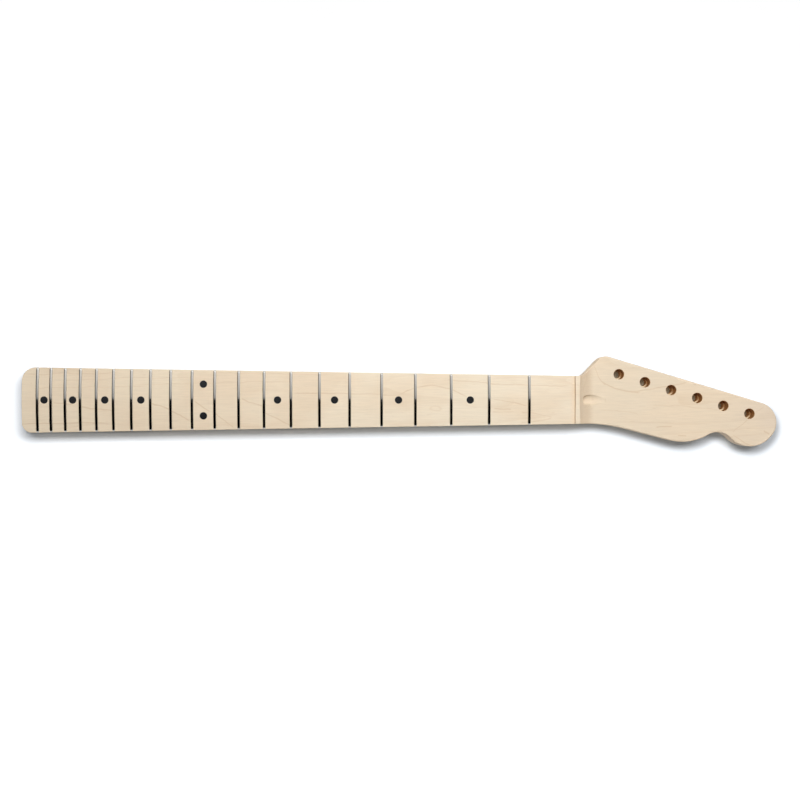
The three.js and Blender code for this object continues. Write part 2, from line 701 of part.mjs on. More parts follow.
const maple = new THREE.MeshStandardMaterial({ color: 0xecdfc6, roughness: 0.55, metalness: 0 });
const walnut = new THREE.MeshStandardMaterial({ color: 0x5b3a26, roughness: 0.6, metalness: 0 });
const nickelSilver = new THREE.MeshStandardMaterial({ color: 0xc9c7c0, roughness: 0.2, metalness: 1 });
const blackPlastic = new THREE.MeshStandardMaterial({ color: 0x15161a, roughness: 0.35, metalness: 0 });
const steel = new THREE.MeshStandardMaterial({ color: 0x8b8d90, roughness: 0.4, metalness: 1 });
const brass = new THREE.MeshStandardMaterial({ color: 0xb5923f, roughness: 0.4, metalness: 1 });

// The neck put together

const fretNumbers = Array.from({ length: FRET_COUNT }, (_, i) => i + 1);
const tuners = Array.from({ length: TUNER_COUNT }, (_, i) => tunerBore(i));
const joined = (solids) => solids.reduce((all, solid) => all.add(solid));
const blank = neckBlank();

function neck() {
  const cuts = [
    headRelief(),
    nutSlot(),
    rodSpace(),
    joined(tuners),
    joined(fretNumbers.map(fretSlot)),
    joined(faceDotPlaces().map((place) => faceDotPlug(place, 0))),
    joined(sideDotPlaces().map((place) => sideDotPlug(place, 0))),
  ];
  return cuts.reduce((wood, cut) => wood.subtract(cut), blank);
}

const guitarNeck = new THREE.Group();
guitarNeck.name = "electric_guitar_neck";
guitarNeck.add(meshOf("neck", neck(), maple));

// The walnut fillet fills the channel behind the rod and is shaped flush with the back.
const fillet = routedSlot(GLUE_GAP, -CUT_OVERRUN, FILLET_TOP).intersect(blank);
guitarNeck.add(meshOf("walnut_fillet", fillet, walnut));

for (const number of fretNumbers)
  guitarNeck.add(meshOf("fret_" + twoDigits(number), fret(number), nickelSilver));
for (const place of faceDotPlaces())
  guitarNeck.add(meshOf(place.name, faceDotPlug(place, SEAT_GAP).intersect(blank), blackPlastic));
for (const place of sideDotPlaces())
  guitarNeck.add(meshOf(place.name, sideDotPlug(place, SEAT_GAP).intersect(blank), blackPlastic));

guitarNeck.add(meshOf("truss_rod", trussRod(), steel));
guitarNeck.add(meshOf("truss_rod_nut", trussRodNut(), steel));
guitarNeck.add(meshOf("truss_bar", flatBar(), steel));
guitarNeck.add(meshOf("truss_block_head", rodBlock(HEAD_BLOCK_X - BLOCK_LENGTH), brass));
guitarNeck.add(meshOf("truss_block_heel", rodBlock(HEEL_BLOCK_X), brass));

export default guitarNeck;
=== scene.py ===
from functools import partial
from math import asin, atan, atan2, cos, pi, radians, sin, sqrt

import bpy
import numpy as np
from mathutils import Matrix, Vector
from mathutils.geometry import delaunay_2d_cdt


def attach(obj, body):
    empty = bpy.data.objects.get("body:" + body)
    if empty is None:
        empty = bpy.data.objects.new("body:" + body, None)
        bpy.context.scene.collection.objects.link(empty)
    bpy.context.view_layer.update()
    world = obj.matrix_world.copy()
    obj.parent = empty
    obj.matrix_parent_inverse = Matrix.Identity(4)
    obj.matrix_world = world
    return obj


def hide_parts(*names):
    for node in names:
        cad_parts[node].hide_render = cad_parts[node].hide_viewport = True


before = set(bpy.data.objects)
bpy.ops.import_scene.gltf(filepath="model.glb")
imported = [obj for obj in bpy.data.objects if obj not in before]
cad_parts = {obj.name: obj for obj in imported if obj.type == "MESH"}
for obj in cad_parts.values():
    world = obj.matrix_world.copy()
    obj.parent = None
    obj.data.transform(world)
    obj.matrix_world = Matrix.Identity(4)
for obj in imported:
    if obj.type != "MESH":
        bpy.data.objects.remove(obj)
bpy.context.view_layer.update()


# The maple blank. A plank of hard maple about an inch thick is bandsawn to the plan, planed down at the
# head, arched on top, and its back is shaped by spindle and rasp from the square heel to the round shaft.
MM = 0.001
SCALE_LENGTH = 647.7
FRET_COUNT = 21
HEEL_END_X = -38.1
HEEL_FRONT_X = 38.1
BOARD_OVERHANG = 13.4
NUT_WIDTH = 41.3
HEEL_WIDTH = 56
BOARD_TOP = 25.4
BOARD_RADIUS = 241.3
HEEL_CORNER_BASS = 11.5
HEEL_CORNER_TREBLE = 8.3
CORNER_STEPS = 12
HEEL_RUNOUT = 34
DEPTH_AT_FIRST = 20.8
DEPTH_AT_TWELFTH = 22.5
FLANK_HEIGHT = 5
BACK_ROUNDNESS = 2.2
HEAD_FACE = 18.3
HEAD_BACK = 4.0
HEAD_RUNOUT = 29
LIP_FROM_NUT = 6.6
COVE_LENGTH = 16


def below_nut(number):
    return SCALE_LENGTH * (1 - 2 ** (-number / 12))


NUT_X = HEEL_END_X + BOARD_OVERHANG + below_nut(FRET_COUNT)
EDGE_SLOPE = (HEEL_WIDTH - NUT_WIDTH) / 2 / (NUT_X - HEEL_END_X)
COVE_END = NUT_X + LIP_FROM_NUT + COVE_LENGTH
COVE_DROP = BOARD_TOP - HEAD_FACE
COVE_RADIUS = (COVE_LENGTH**2 + COVE_DROP**2) / (2 * COVE_DROP)


def fret_x(number):
    return NUT_X - below_nut(number)


def lerp(a, b, share):
    return a + (b - a) * share


def eased(start, length, x):
    share = min(max((x - start) / length, 0), 1)
    return share * share * (3 - 2 * share)


def board_half(x):
    return NUT_WIDTH / 2 + (NUT_X - x) * EDGE_SLOPE


def board_height(x, y):
    reach = min(abs(y), board_half(x))
    return BOARD_TOP - BOARD_RADIUS + sqrt(BOARD_RADIUS**2 - reach**2)


# The head's outline is a belt laid round circles: the sweep, the belly, the notch, the two rounds of the
# tip, the lobe and the shoulder. Each is (mm past the nut, mm to the bass side, radius, bulge or hollow).
HEAD_ROUNDS = [
    (11.4, -174.4, 154.0, -1),
    (97.2, 7.2, 43.3, 1),
    (127.4, -43.1, 15.3, -1),
    (155.6, -16.8, 23.3, 1),
    (160.9, -19.4, 17.6, 1),
    (30.7, 28.3, 9.4, 1),
    (5.8, 30.6, 10.0, -1),
]
OUTLINE_STEP = 1.8
ARC_STEP = radians(4)
DOUBLED_POINT = 0.05
NEAR_THE_LIP = 0.2


def heel_corner(side, corner):
    points = []
    for i in range(CORNER_STEPS + 1):
        turn = pi / 2 * i / CORNER_STEPS
        x = HEEL_END_X + corner * (1 - cos(turn))
        y = side * (board_half(x) - corner * (1 - sin(turn)))
        along = corner * sin(turn)
        across = side * (corner * cos(turn) - EDGE_SLOPE * along)
        points.append((Vector((x, y)), Vector((-across, along)).normalized() * side))
    return points


def belt(start, rounds, end):
    stops = [(start, 0, 1)]
    stops += [(Vector((NUT_X + u, v)), radius, bulge) for u, v, radius, bulge in rounds]
    stops += [(end, 0, 1)]
    headings = []
    for (here, radius, bulge), (there, next_radius, next_bulge) in zip(stops, stops[1:]):
        span = there - here
        gain = next_bulge * next_radius - bulge * radius
        headings.append(atan2(span.y, span.x) - asin(max(-1, min(1, gain / span.length))) - pi / 2)
    points = []
    for (centre, radius, bulge), before, after in zip(stops[1:-1], headings, headings[1:]):
        turn = bulge * ((bulge * (after - before)) % (2 * pi))
        steps = max(2, int(abs(turn) * max(radius / OUTLINE_STEP, 1 / ARC_STEP)) + 1)
        for i in range(steps + 1):
            angle = before + turn * i / steps
            outward = Vector((cos(angle), sin(angle)))
            points.append((centre + outward * radius * bulge, outward))
    return points


def lip_x(y):
    rise = board_height(NUT_X, y) - HEAD_FACE
    return COVE_END - sqrt(COVE_RADIUS**2 - (COVE_RADIUS - rise) ** 2)


def blank_outline():
    treble = heel_corner(-1, HEEL_CORNER_TREBLE)
    bass = heel_corner(1, HEEL_CORNER_BASS)[::-1]
    corners = treble + belt(treble[-1][0], HEAD_ROUNDS, bass[0][0]) + bass
    points = []
    lip_marks = []
    for (here, out), (there, next_out) in zip(corners, corners[1:] + corners[:1]):
        if (there - here).length < DOUBLED_POINT:
            continue
        steps = max(1, round((there - here).length / OUTLINE_STEP))
        shares = [i / steps for i in range(steps)]
        before, after = here.x - lip_x(here.y), there.x - lip_x(there.y)
        if before * after < 0:
            crossing = before / (before - after)
            shares = [share for share in shares if abs(share - crossing) * steps > NEAR_THE_LIP]
            shares = sorted(shares + [crossing])
            lip_marks.append(len(points) + shares.index(crossing))
        points += [(here.lerp(there, s), out.lerp(next_out, s).normalized()) for s in shares]
    return points, lip_marks


outline, lip_marks = blank_outline()
HEAD_REACH = max(abs(point.y) for point, _ in outline) + 1


def top_height(x, y):
    height = board_height(x, y)
    if x >= COVE_END:
        return HEAD_FACE
    if x <= lip_x(0):
        return height
    return min(height, HEAD_FACE + COVE_RADIUS - sqrt(COVE_RADIUS**2 - (COVE_END - x) ** 2))


HALVINGS = 24


# Between the square heel and the round shaft the section is drawn by an angle, found by halving.
def back_height(x, y):
    to_head = eased(NUT_X, HEAD_RUNOUT, x)
    roundness = eased(HEEL_FRONT_X, HEEL_RUNOUT, x)
    depth = lerp(DEPTH_AT_FIRST, DEPTH_AT_TWELFTH, (fret_x(1) - x) / (fret_x(1) - fret_x(12)))
    low = lerp((BOARD_TOP - depth) * roundness, HEAD_BACK, to_head)
    if roundness == 0:
        return low
    foot = lerp(board_height(x, board_half(x)) - FLANK_HEIGHT, HEAD_BACK, to_head)
    share = min(abs(y) / lerp(board_half(x), HEAD_REACH, to_head), 1)
    if roundness == 1:
        return lerp(foot, low, (1 - share**BACK_ROUNDNESS) ** (1 / BACK_ROUNDNESS))
    near, far = 0, pi / 2
    for _ in range(HALVINGS):
        turn = (near + far) / 2
        corner = max(cos(turn), sin(turn))
        across = lerp(cos(turn) / corner, cos(turn) ** (2 / BACK_ROUNDNESS), roundness)
        near, far = (turn, far) if across > share else (near, turn)
    return lerp(foot, low, lerp(sin(turn) / corner, sin(turn) ** (2 / BACK_ROUNDNESS), roundness))


BOARD_EDGE = 0.35
HEAD_EDGE = 0.9
HEEL_EDGE = 0.6
HEAD_BACK_EDGE = 1.2
INSIDE_EDGE = 0.03
TOP_INSETS = (0, 0.05, 0.15, 0.3, 0.5, 0.8, 1.4, 2.4, 4.0)
BACK_INSETS = (0, 0.1, 0.22, 0.4, 0.65, 1.0, 1.5, 2.2, 3.2, 4.5, 6.0)
LIP_EASE = 8


def rolled_edge(radius, inset):
    if inset >= radius:
        return 0
    return radius - sqrt(radius**2 - (radius - inset) ** 2)


def top_ring(inset):
    plan = [point - outward * inset for point, outward in outline]
    for mark in lip_marks:
        shift = lip_x(plan[mark].y) - plan[mark].x
        for i in range(-LIP_EASE, LIP_EASE + 1):
            plan[mark + i].x += shift * (1 - abs(i) / LIP_EASE)
    ring = []
    for x, y in plan:
        radius = lerp(BOARD_EDGE, HEAD_EDGE, eased(COVE_END - COVE_LENGTH, COVE_LENGTH, x))
        ring.append((x, y, top_height(x, y) - rolled_edge(radius, inset)))
    return ring


def back_ring(inset):
    ring = []
    for point, outward in outline:
        x, y = point - outward * inset
        sampled = point - outward * max(inset, INSIDE_EDGE)
        square = 1 - eased(HEEL_FRONT_X, HEEL_RUNOUT, x)
        radius = HEEL_EDGE * square + HEAD_BACK_EDGE * eased(NUT_X, HEAD_RUNOUT, x)
        ring.append((x, y, back_height(sampled.x, sampled.y) + rolled_edge(radius, inset)))
    return ring


def stepped(stops):
    values = []
    for (start, step), (end, _) in zip(stops, stops[1:]):
        count = max(1, round((end - start) / step))
        values += [start + (end - start) * i / count for i in range(count)]
    return values


def within(edge, places):
    ahead = np.roll(edge, -1, axis=0)
    above = (edge[:, 1] > places[:, None, 1]) != (ahead[:, 1] > places[:, None, 1])
    with np.errstate(divide="ignore", invalid="ignore"):
        slope = (ahead[:, 0] - edge[:, 0]) / (ahead[:, 1] - edge[:, 1])
        hit = places[:, None, 0] < edge[:, 0] + (places[:, None, 1] - edge[:, 1]) * slope
    return (above & hit).sum(axis=1) % 2 == 1


CLEAR_OF_EDGE = 1.0
BLOCKS = 12
FAR_OFF = 1e9
INSIDE_ONLY = 1
WELD = 1e-6


def fill_ring(ring, columns, rows, crease, height):
    edge = np.array([point[:2] for point in ring])
    grid = np.array([(x, y) for x in columns for y in rows])
    gap = np.full(len(grid), FAR_OFF)
    for block in np.array_split(np.vstack([edge, crease]), BLOCKS):
        gap = np.minimum(gap, np.linalg.norm(grid[:, None] - block[None], axis=2).min(axis=1))
    grid = grid[within(edge, grid) & (gap > CLEAR_OF_EDGE)]
    count = len(edge)
    flat = [Vector(place) for place in np.vstack([edge, crease, grid])]
    stops = [lip_marks[1], *range(count, count + len(crease)), lip_marks[0]]
    chain = list(zip(stops, stops[1:])) if len(crease) else []
    rim = [list(range(count))]
    points, _, faces, origins, _, _ = delaunay_2d_cdt(flat, chain, rim, INSIDE_ONLY, WELD)
    place = [min(origin) for origin in origins]
    inner = {}
    for point, index in zip(points, place):
        if index >= count:
            inner[index] = (point.x, point.y, height(point.x, point.y))
    return inner, [[place[i] for i in face] for face in faces]


BLANK_SPAN = (-38, 610)
ROWS_ASIDE = 19
ROW_STEP = 2.2
COLUMN_STEP = 2.6
COVE_STEP = 1.2
CREASE_POINTS = 16


def wooden_blank(name):
    rings = [back_ring(inset) for inset in BACK_INSETS[::-1]] + [top_ring(inset) for inset in TOP_INSETS]
    count = len(outline)
    points = [point for ring in rings for point in ring]
    faces = []
    for i in range(len(rings) - 1):
        for j in range(count):
            k = (j + 1) % count
            faces.append((i * count + j, i * count + k, (i + 1) * count + k, (i + 1) * count + j))
    rows = [y * ROW_STEP for y in range(-ROWS_ASIDE, ROWS_ASIDE + 1)]
    start, end = BLANK_SPAN
    columns = stepped([(start, COLUMN_STEP), (lip_x(0), COVE_STEP), (COVE_END, COLUMN_STEP), (end, 0)])
    edge_y = [rings[-1][i][1] for i in lip_marks]
    crease_rows = np.linspace(edge_y[1], edge_y[0], CREASE_POINTS)[1:-1]
    crease = np.array([(lip_x(y), y) for y in crease_rows])
    for ring, base, lip, height, step in (
        (rings[-1], (len(rings) - 1) * count, crease, top_height, 1),
        (rings[0], 0, crease[:0], back_height, -1),
    ):
        inner, triangles = fill_ring(ring, columns, rows, lip, height)
        index = {i: base + i for i in range(count)}
        for key, point in inner.items():
            index[key] = len(points)
            points.append(point)
        faces += [[index[i] for i in face][::step] for face in triangles]
    return mesh_piece(name, points, faces)


def put_in_scene(name, data):
    placed = bpy.data.objects.new(name, data)
    bpy.context.scene.collection.objects.link(placed)
    return placed


def mesh_piece(name, points, faces, material=None):
    mesh = bpy.data.meshes.new(name)
    mesh.from_pydata([[length * MM for length in point] for point in points], [], faces)
    if material:
        mesh.materials.append(material)
    return put_in_scene(name, mesh)


def linear(colour):
    parts = [int(colour[i : i + 2], 16) / 255 for i in (1, 3, 5)]
    return [c / 12.92 if c <= 0.04045 else ((c + 0.055) / 1.055) ** 2.4 for c in parts] + [1]


# Adds a node to a tree with its settings and links. A shader node's kind goes without its first word, a
# Math node's kind is its operation, and a node given as a link stands for its first output in use.
def add_node(tree, kind, links=None, **settings):
    if kind.isupper():
        kind, settings["operation"] = "Math", kind
    node = tree.nodes.new(kind if "Node" in kind else "ShaderNode" + kind)
    for name, value in settings.items():
        setattr(node, name, value)
    for key, value in (links or {}).items():
        if isinstance(value, bpy.types.Node):
            value = next(output for output in value.outputs if output.enabled)
        if isinstance(value, bpy.types.NodeSocket):
            tree.links.new(value, node.inputs[key])
        else:
            node.inputs[key].default_value = value
    return node


# A material, a world or a node group comes with the function that adds a node to it.
def emptied(owner):
    owner.use_nodes = True
    owner.node_tree.nodes.clear()
    return owner, partial(add_node, owner.node_tree)


def new_material(name):
    return emptied(bpy.data.materials.new(name))


def finish_material(node, links):
    node("OutputMaterial", {"Surface": node("BsdfPrincipled", links)})


def new_group(name, kind, inputs, result):
    tree = bpy.data.node_groups.new(name, kind)
    for in_out, sockets in (("OUTPUT", [result]), ("INPUT", inputs)):
        for socket, holds in sockets:
            tree.interface.new_socket(socket, in_out=in_out, socket_type="NodeSocket" + holds)
    node = partial(add_node, tree)
    return tree, node, node("NodeGroupInput").outputs


# One line of figure in the wood, seen from above: it runs from one place to another, bowed to the bass
# side by its bow, and fades at both ends. It darkens what the lines before it left. All in millimetres.
def grain_line():
    sockets = [("Before", "Float"), ("Place", "Vector"), ("Start", "Vector"), ("End", "Vector")]
    sockets += [("Bow", "Float"), ("Width", "Float"), ("Depth", "Float")]
    tree, node, given = new_group("grain_line", "ShaderNodeTree", sockets, ("Shade", "Float"))
    ends = [given[name] for name in ("Place", "Start", "End")]
    place, start, end = [node("SeparateXYZ", {0: vector}).outputs for vector in ends]
    along = node("MapRange", {"Value": place["X"], "From Min": start["X"], "From Max": end["X"]})
    straight = node("MapRange", {"Value": along, "To Min": start["Y"], "To Max": end["Y"]})
    left = node("SUBTRACT", {0: 1.0, 1: along})
    arch = node("MULTIPLY", {0: along, 1: left})
    quarters = node("MULTIPLY", {0: given["Bow"], 1: 4.0})
    line = node("MULTIPLY_ADD", {0: arch, 1: quarters, 2: straight})
    off = node("SUBTRACT", {0: place["Y"], 1: line})
    away = node("ABSOLUTE", {0: off})
    width = {"Value": away, "From Max": given["Width"], "To Min": given["Depth"], "To Max": 0.0}
    mark = node("MapRange", width, interpolation_type="SMOOTHSTEP")
    fade = node("MapRange", {"Value": arch, "From Max": 0.09}, interpolation_type="SMOOTHSTEP")
    shade = node("MULTIPLY", {0: mark, 1: fade})
    darkest = node("MAXIMUM", {0: given["Before"], 1: shade})
    node("NodeGroupOutput", {"Shade": darkest})
    return tree


# Each line: from x, y to x, y, its bow, its width and its depth.
GRAIN_LINES = [
    (-40, -20.9, 39, -19.2, 0.5, 0.9, 0.8),
    (-12, -2.1, 6, -3.8, 0, 0.8, 0.8),
    (11, -5.5, 40, -9.8, 0, 0.9, 0.9),
    (71, -3, 88, -8.1, 0, 0.9, 0.9),
    (89, -9.8, 105, -17.5, 0, 0.9, 0.9),
    (108, -1.3, 122, -10.6, 0, 0.9, 0.9),
    (125, -10.6, 142, -24.3, 0, 0.9, 0.9),
    (148, 1.3, 168, -5.5, 0, 0.9, 0.8),
    (168, -10.6, 192, -22.6, 0, 0.9, 0.8),
    (192, 5.5, 243, 5.5, 0, 0.8, 0.8),
    (237, 5.5, 286, 3.8, 0, 0.7, 0.6),
    (280, 3, 342, 2.1, 9.4, 0.9, 0.8),
    (362, 1.6, 393, -5, 0, 0.8, 0.8),
    (364, -7.6, 379, -8, 0, 0.8, 0.9),
    (362, -10.2, 382, -10.6, 0, 0.6, 0.5),
    (323, 17.5, 373, 13.2, 0, 0.8, 0.8),
    (367, 13.2, 429, 12.3, 0, 0.8, 0.7),
    (386, -10.6, 414, -14.9, 0.9, 0.8, 0.6),
    (386, -20, 414, -14.9, -0.9, 0.8, 0.6),
    (-38, 21.7, 45, 23.4, 0, 0.7, 0.6),
    (-6, 16.6, 114, 19.2, 0.9, 0.6, 0.5),
    (54, 12.3, 199, 15.8, 0.9, 0.6, 0.5),
    (-31, 9.8, 71, 11.5, 0, 0.6, 0.5),
    (122, 23.4, 224, 21.7, 0, 0.6, 0.5),
    (450, 32.2, 461, 13.3, -4.3, 1, 0.8),
    (457, 15.9, 491, 6.6, -2.4, 0.9, 0.9),
    (482, 6.7, 533, 15.4, -0.4, 0.9, 0.7),
    (504, -22.8, 519, -22.8, 0, 0.8, 0.9),
    (523, -30.5, 531, -30.5, 0, 0.8, 0.8),
    (570, -27.9, 588, -15, 0.9, 0.8, 0.7),
    (570, -29.7, 599, -40, -3.4, 0.8, 0.8),
    (590, -10.7, 598, -5.8, 0, 0.8, 0.45),
    (597, -26.4, 603, -28.8, 0, 1.2, 0.8),
    (456, -9, 490, -12.5, 0.9, 0.7, 0.4),
    (499, -3.9, 559, -9, 0.9, 0.7, 0.4),
    (533, 1.3, 572, -3.9, 0, 0.7, 0.4),
]
# A small eye in the figure: an upright oval ring, with its place, its half lengths, its rim and its depth.
EYE_PLACE = (314, -7.2, 0)
EYE_REACH = (4.2, 2.2, 1e6)
EYE_RIM = 0.45
EYE_DEPTH = 0.35
HEAD_TIP_X = 609.0
WOOD_TONES = [(0.0, "#EFDDC2"), (0.3, "#F1E0C6"), (0.6, "#F1E2CA"), (0.73, "#F2E2CA")]
WOOD_TONES += [(0.75, "#EBD9BF"), (0.82, "#EAD9C0"), (0.9, "#E8D6BC"), (1.0, "#E8D5BE")]
RING_WIDTH = 3.1
RING_WANDER = 7.0
PITH_ASIDE = 7.0
PITH_BELOW = 60.0
PLANK_LEAN = 0.022


# Noise drawn out by its own scale each way.
def drawn_noise(node, place, scale, detail, **more):
    drawn = node("Mapping", {"Vector": place, "Scale": scale})
    return node("TexNoise", {"Vector": drawn, "Scale": 1.0, "Detail": detail} | more)


# One colour laid over another: from none of it where a pattern is low to the most of it where it is high.
def laid_over(node, pattern, low, high, under, over, most=1.0, **settings):
    levels = {"Value": pattern, "From Min": low, "From Max": high, "To Max": most}
    share = node("MapRange", levels, **settings)
    under, over = [linear(colour) if isinstance(colour, str) else colour for colour in (under, over)]
    return node("Mix", {"Factor": share, 6: under, 7: over}, data_type="RGBA")


# Hard maple, planed and sanded, with no finish on it: pale cream and dull. The plank is flat sawn, so its
# growth rings lie nearly level: they draw long arcs on the face and even stripes on the sides. Fibres and
# pores are finer than a pixel in life, and are drawn about a millimetre apart so that they show.
def hard_maple():
    material, node = new_material("hard_maple")
    where = node("TexCoord").outputs
    place = node("Mapping", {"Vector": where["Object"], "Scale": (1000,) * 3})
    apart = node("SeparateXYZ", {0: place}).outputs

    wander = drawn_noise(node, place, (0.007, 0.035, 0.035), 2.0)
    wandered = node("MapRange", {"Value": wander, "To Min": -RING_WANDER, "To Max": RING_WANDER})
    level = node("MULTIPLY_ADD", {0: apart["X"], 1: PLANK_LEAN, 2: apart["Z"]})
    across = node("SUBTRACT", {0: apart["Y"], 1: PITH_ASIDE})
    from_pith = node("ADD", {0: level, 1: PITH_BELOW})
    pith = node("CombineXYZ", {"X": across, "Y": from_pith})
    radius = node("VectorMath", {0: pith}, operation="LENGTH")
    grown = node("ADD", {0: radius, 1: wandered})
    years = node("MULTIPLY", {0: grown, 1: 1 / RING_WIDTH})
    season = node("FRACT", {0: years})
    summer = {"Value": season, "From Min": 0.62, "From Max": 0.97}
    late_wood = node("MapRange", summer, interpolation_type="SMOOTHSTEP")
    winter = {"Value": season, "From Min": 0.97, "From Max": 1.0, "To Min": 1.0, "To Max": 0.0}
    ring = node("MULTIPLY", {0: late_wood, 1: node("MapRange", winter)})
    patchy = drawn_noise(node, place, (0.012, 0.06, 0.06), 1.0)
    patches = {"Value": patchy, "From Min": 0.4, "From Max": 0.7, "To Min": 0.08, "To Max": 0.38}
    rings = node("MULTIPLY", {0: ring, 1: node("MapRange", patches)})

    ripple = drawn_noise(node, place, (0.06, 0.1, 0.0), 3.0).outputs["Color"]
    rippled = node("VectorMath", {0: ripple, 1: (0.5, 0.5, 0.5)}, operation="SUBTRACT")
    bent = node("VectorMath", {0: rippled, 1: (3, 4, 0), 2: place}, operation="MULTIPLY_ADD")
    line = grain_line()
    figure = 0.0
    for x0, y0, x1, y1, bow, width, depth in GRAIN_LINES:
        links = {"Before": figure, "Place": bent, "Start": (x0, y0, 0), "End": (x1, y1, 0)}
        links |= {"Bow": bow, "Width": width, "Depth": depth}
        figure = node("Group", links, node_tree=line)
    eye = {"Vector": bent, "Location": EYE_PLACE, "Scale": EYE_REACH}
    in_eye = node("Mapping", eye, vector_type="TEXTURE")
    from_middle = node("VectorMath", {0: in_eye}, operation="LENGTH")
    from_rim = node("SUBTRACT", {0: from_middle, 1: 1.0})
    off_rim = node("ABSOLUTE", {0: from_rim})
    rim = {"Value": off_rim, "From Max": EYE_RIM, "To Min": EYE_DEPTH, "To Max": 0.0}
    oval = node("MapRange", rim, interpolation_type="SMOOTHSTEP")
    figure = node("MAXIMUM", {0: figure, 1: oval})
    near_face = node("MapRange", {"Value": apart["Z"], "From Min": 13.0, "From Max": 17.5})
    figure = node("MULTIPLY", {0: figure, 1: near_face})
    grain = node("MAXIMUM", {0: figure, 1: rings})

    along = node("MapRange", {"Value": apart["X"], "From Min": HEEL_END_X, "From Max": HEAD_TIP_X})
    tone = node("ValToRGB", {0: along})
    ramp = tone.color_ramp.elements
    for i, (position, colour) in enumerate(WOOD_TONES):
        stop = ramp[i] if i < 2 else ramp.new(position)
        stop.position = position
        stop.color = linear(colour)
    cloud = drawn_noise(node, place, (0.016, 0.03, 0.03), 2.0)
    pink = laid_over(node, cloud, 0.4, 0.62, tone, "#EDD9BE")
    fibre = drawn_noise(node, place, (0.06, 0.8, 0.8), 4.0, Roughness=0.65)
    contrast = {"Value": fibre, "From Min": 0.3, "From Max": 0.7, "To Min": 0.955, "To Max": 1.04}
    streaks = node("MapRange", contrast)
    streaked = node("VectorMath", {0: pink, 1: streaks}, operation="MULTIPLY")
    ringed = laid_over(node, grain, 0.0, 1.0, streaked, "#C9A579", 0.42)
    facing = node("SeparateXYZ", {0: where["Normal"]}).outputs
    endwise = node("ABSOLUTE", {0: facing["X"]})
    ended = laid_over(node, endwise, 0.06, 0.4, ringed, "#BA9873", 0.3, interpolation_type="SMOOTHSTEP")
    pore = drawn_noise(node, place, (0.16, 1.3, 1.3), 1.0)
    colour = laid_over(node, pore, 0.66, 0.8, ended, "#B98F66", 0.16)
    roughness = node("MapRange", {"Value": fibre, "To Min": 0.5, "To Max": 0.64})
    relief = node("Bump", {"Height": fibre, "Strength": 0.06, "Distance": 0.0002})
    looks = {"Base Color": colour, "Roughness": roughness, "Specular IOR Level": 0.3, "Normal": relief}
    finish_material(node, looks)
    return material


maple = hard_maple()
blank = wooden_blank("neck_wood")
blank.data.materials.append(maple)


# What is cut from the blank: the nut's slot, the fret slots, the tuners' bores, the pockets for the dots,
# the truss rod's channel, the bore for its nut and the sloping bore for the key.
NUT_SLOT_WIDTH = 3.2
NUT_SLOT_DEPTH = 3.2
TUNER_COUNT = 6
TUNER_PITCH = 23.57
TUNER_LEAN = radians(-16.75)
FIRST_TUNER = Vector((NUT_X + 41.95, 22.1, HEAD_FACE))
BUSHING_BORE = 8.73
BUSHING_BORE_DEPTH = 8.3
POST_BORE = 6.35
BACK_CHAMFER = 0.4
FACE_CHAMFER = 0.3
PAST_FACE = 0.05
OVERRUN = 1.0
FRET_SLOT_WIDTH = 0.58
FRET_SLOT_DEPTH = 1.54
SQUARE_END = 0.01
ROD_AXIS = 15.4
CHANNEL_WIDTH = 6.28
CHANNEL_CEILING = 18.8
CHANNEL_HEEL_X = 50.1
CHANNEL_HEAD_X = 418.478
HEAD_BLOCK_X = 415.338
KEY_BORE = 8.5
KEY_SLOPE = radians(16)
KEY_REACH = 42
KEY_SET_BACK = 0.5
TAIL_BORE = 10.6
TAIL_SLOPE = radians(11)
TAIL_START = (NUT_X + 12.8, 20.35)
TAIL_LENGTH = 24
QUARTER_STEPS = 12
HALF_STEPS = 16
FINEST, FINE, COARSE = 64, 48, 24
FLAT = 1e5


def turned(name, profile, facets, material=None):
    points = []
    rings = []
    for radius, height in profile:
        turns = range(facets) if radius else range(1)
        ring = [2 * pi * i / facets for i in turns]
        rings.append([len(points) + i for i in turns])
        points += [(radius * cos(turn), radius * sin(turn), height) for turn in ring]
    faces = []
    for low, high in zip(rings, rings[1:]):
        for i in range(facets):
            j = (i + 1) % facets
            if len(low) == 1:
                faces.append((low[0], high[j], high[i]))
            elif len(high) == 1:
                faces.append((low[i], low[j], high[0]))
            else:
                faces.append((low[i], low[j], high[j], high[i]))
    return mesh_piece(name, points, faces, material)


def plain_round(name, radius, low, high, facets):
    return turned(name, [(0, low), (radius, low), (radius, high), (0, high)], facets)


def prism(name, plan, low, high, material):
    count = len(plan)
    points = [(x, y, z) for z in (low, high) for x, y in plan]
    faces = [tuple(range(count))[::-1], tuple(range(count, 2 * count))]
    faces += [(i, (i + 1) % count, count + (i + 1) % count, count + i) for i in range(count)]
    return mesh_piece(name, points, faces, material)


def routed_slot(inset):
    radius = CHANNEL_WIDTH / 2 - inset
    reach = inset + radius
    plan = []
    for centre, start in ((CHANNEL_HEAD_X - reach, -pi / 2), (CHANNEL_HEEL_X + reach, pi / 2)):
        turns = [start + pi * i / HALF_STEPS for i in range(HALF_STEPS + 1)]
        plan += [(centre + radius * cos(turn), radius * sin(turn)) for turn in turns]
    return plan


def applied(piece):
    graph = bpy.context.evaluated_depsgraph_get()
    mesh = bpy.data.meshes.new_from_object(piece.evaluated_get(graph))
    mesh.name = piece.name
    piece.modifiers.clear()
    piece.data = mesh
    return piece


def run_nodes(name, tree, inputs, places=()):
    piece = mesh_piece(name, places, [])
    modifier = piece.modifiers.new("shape", "NODES")
    modifier.node_group = tree
    for item in tree.interface.items_tree:
        if item.in_out == "INPUT" and item.name in inputs:
            modifier[item.identifier] = inputs[item.name]
    return applied(piece)


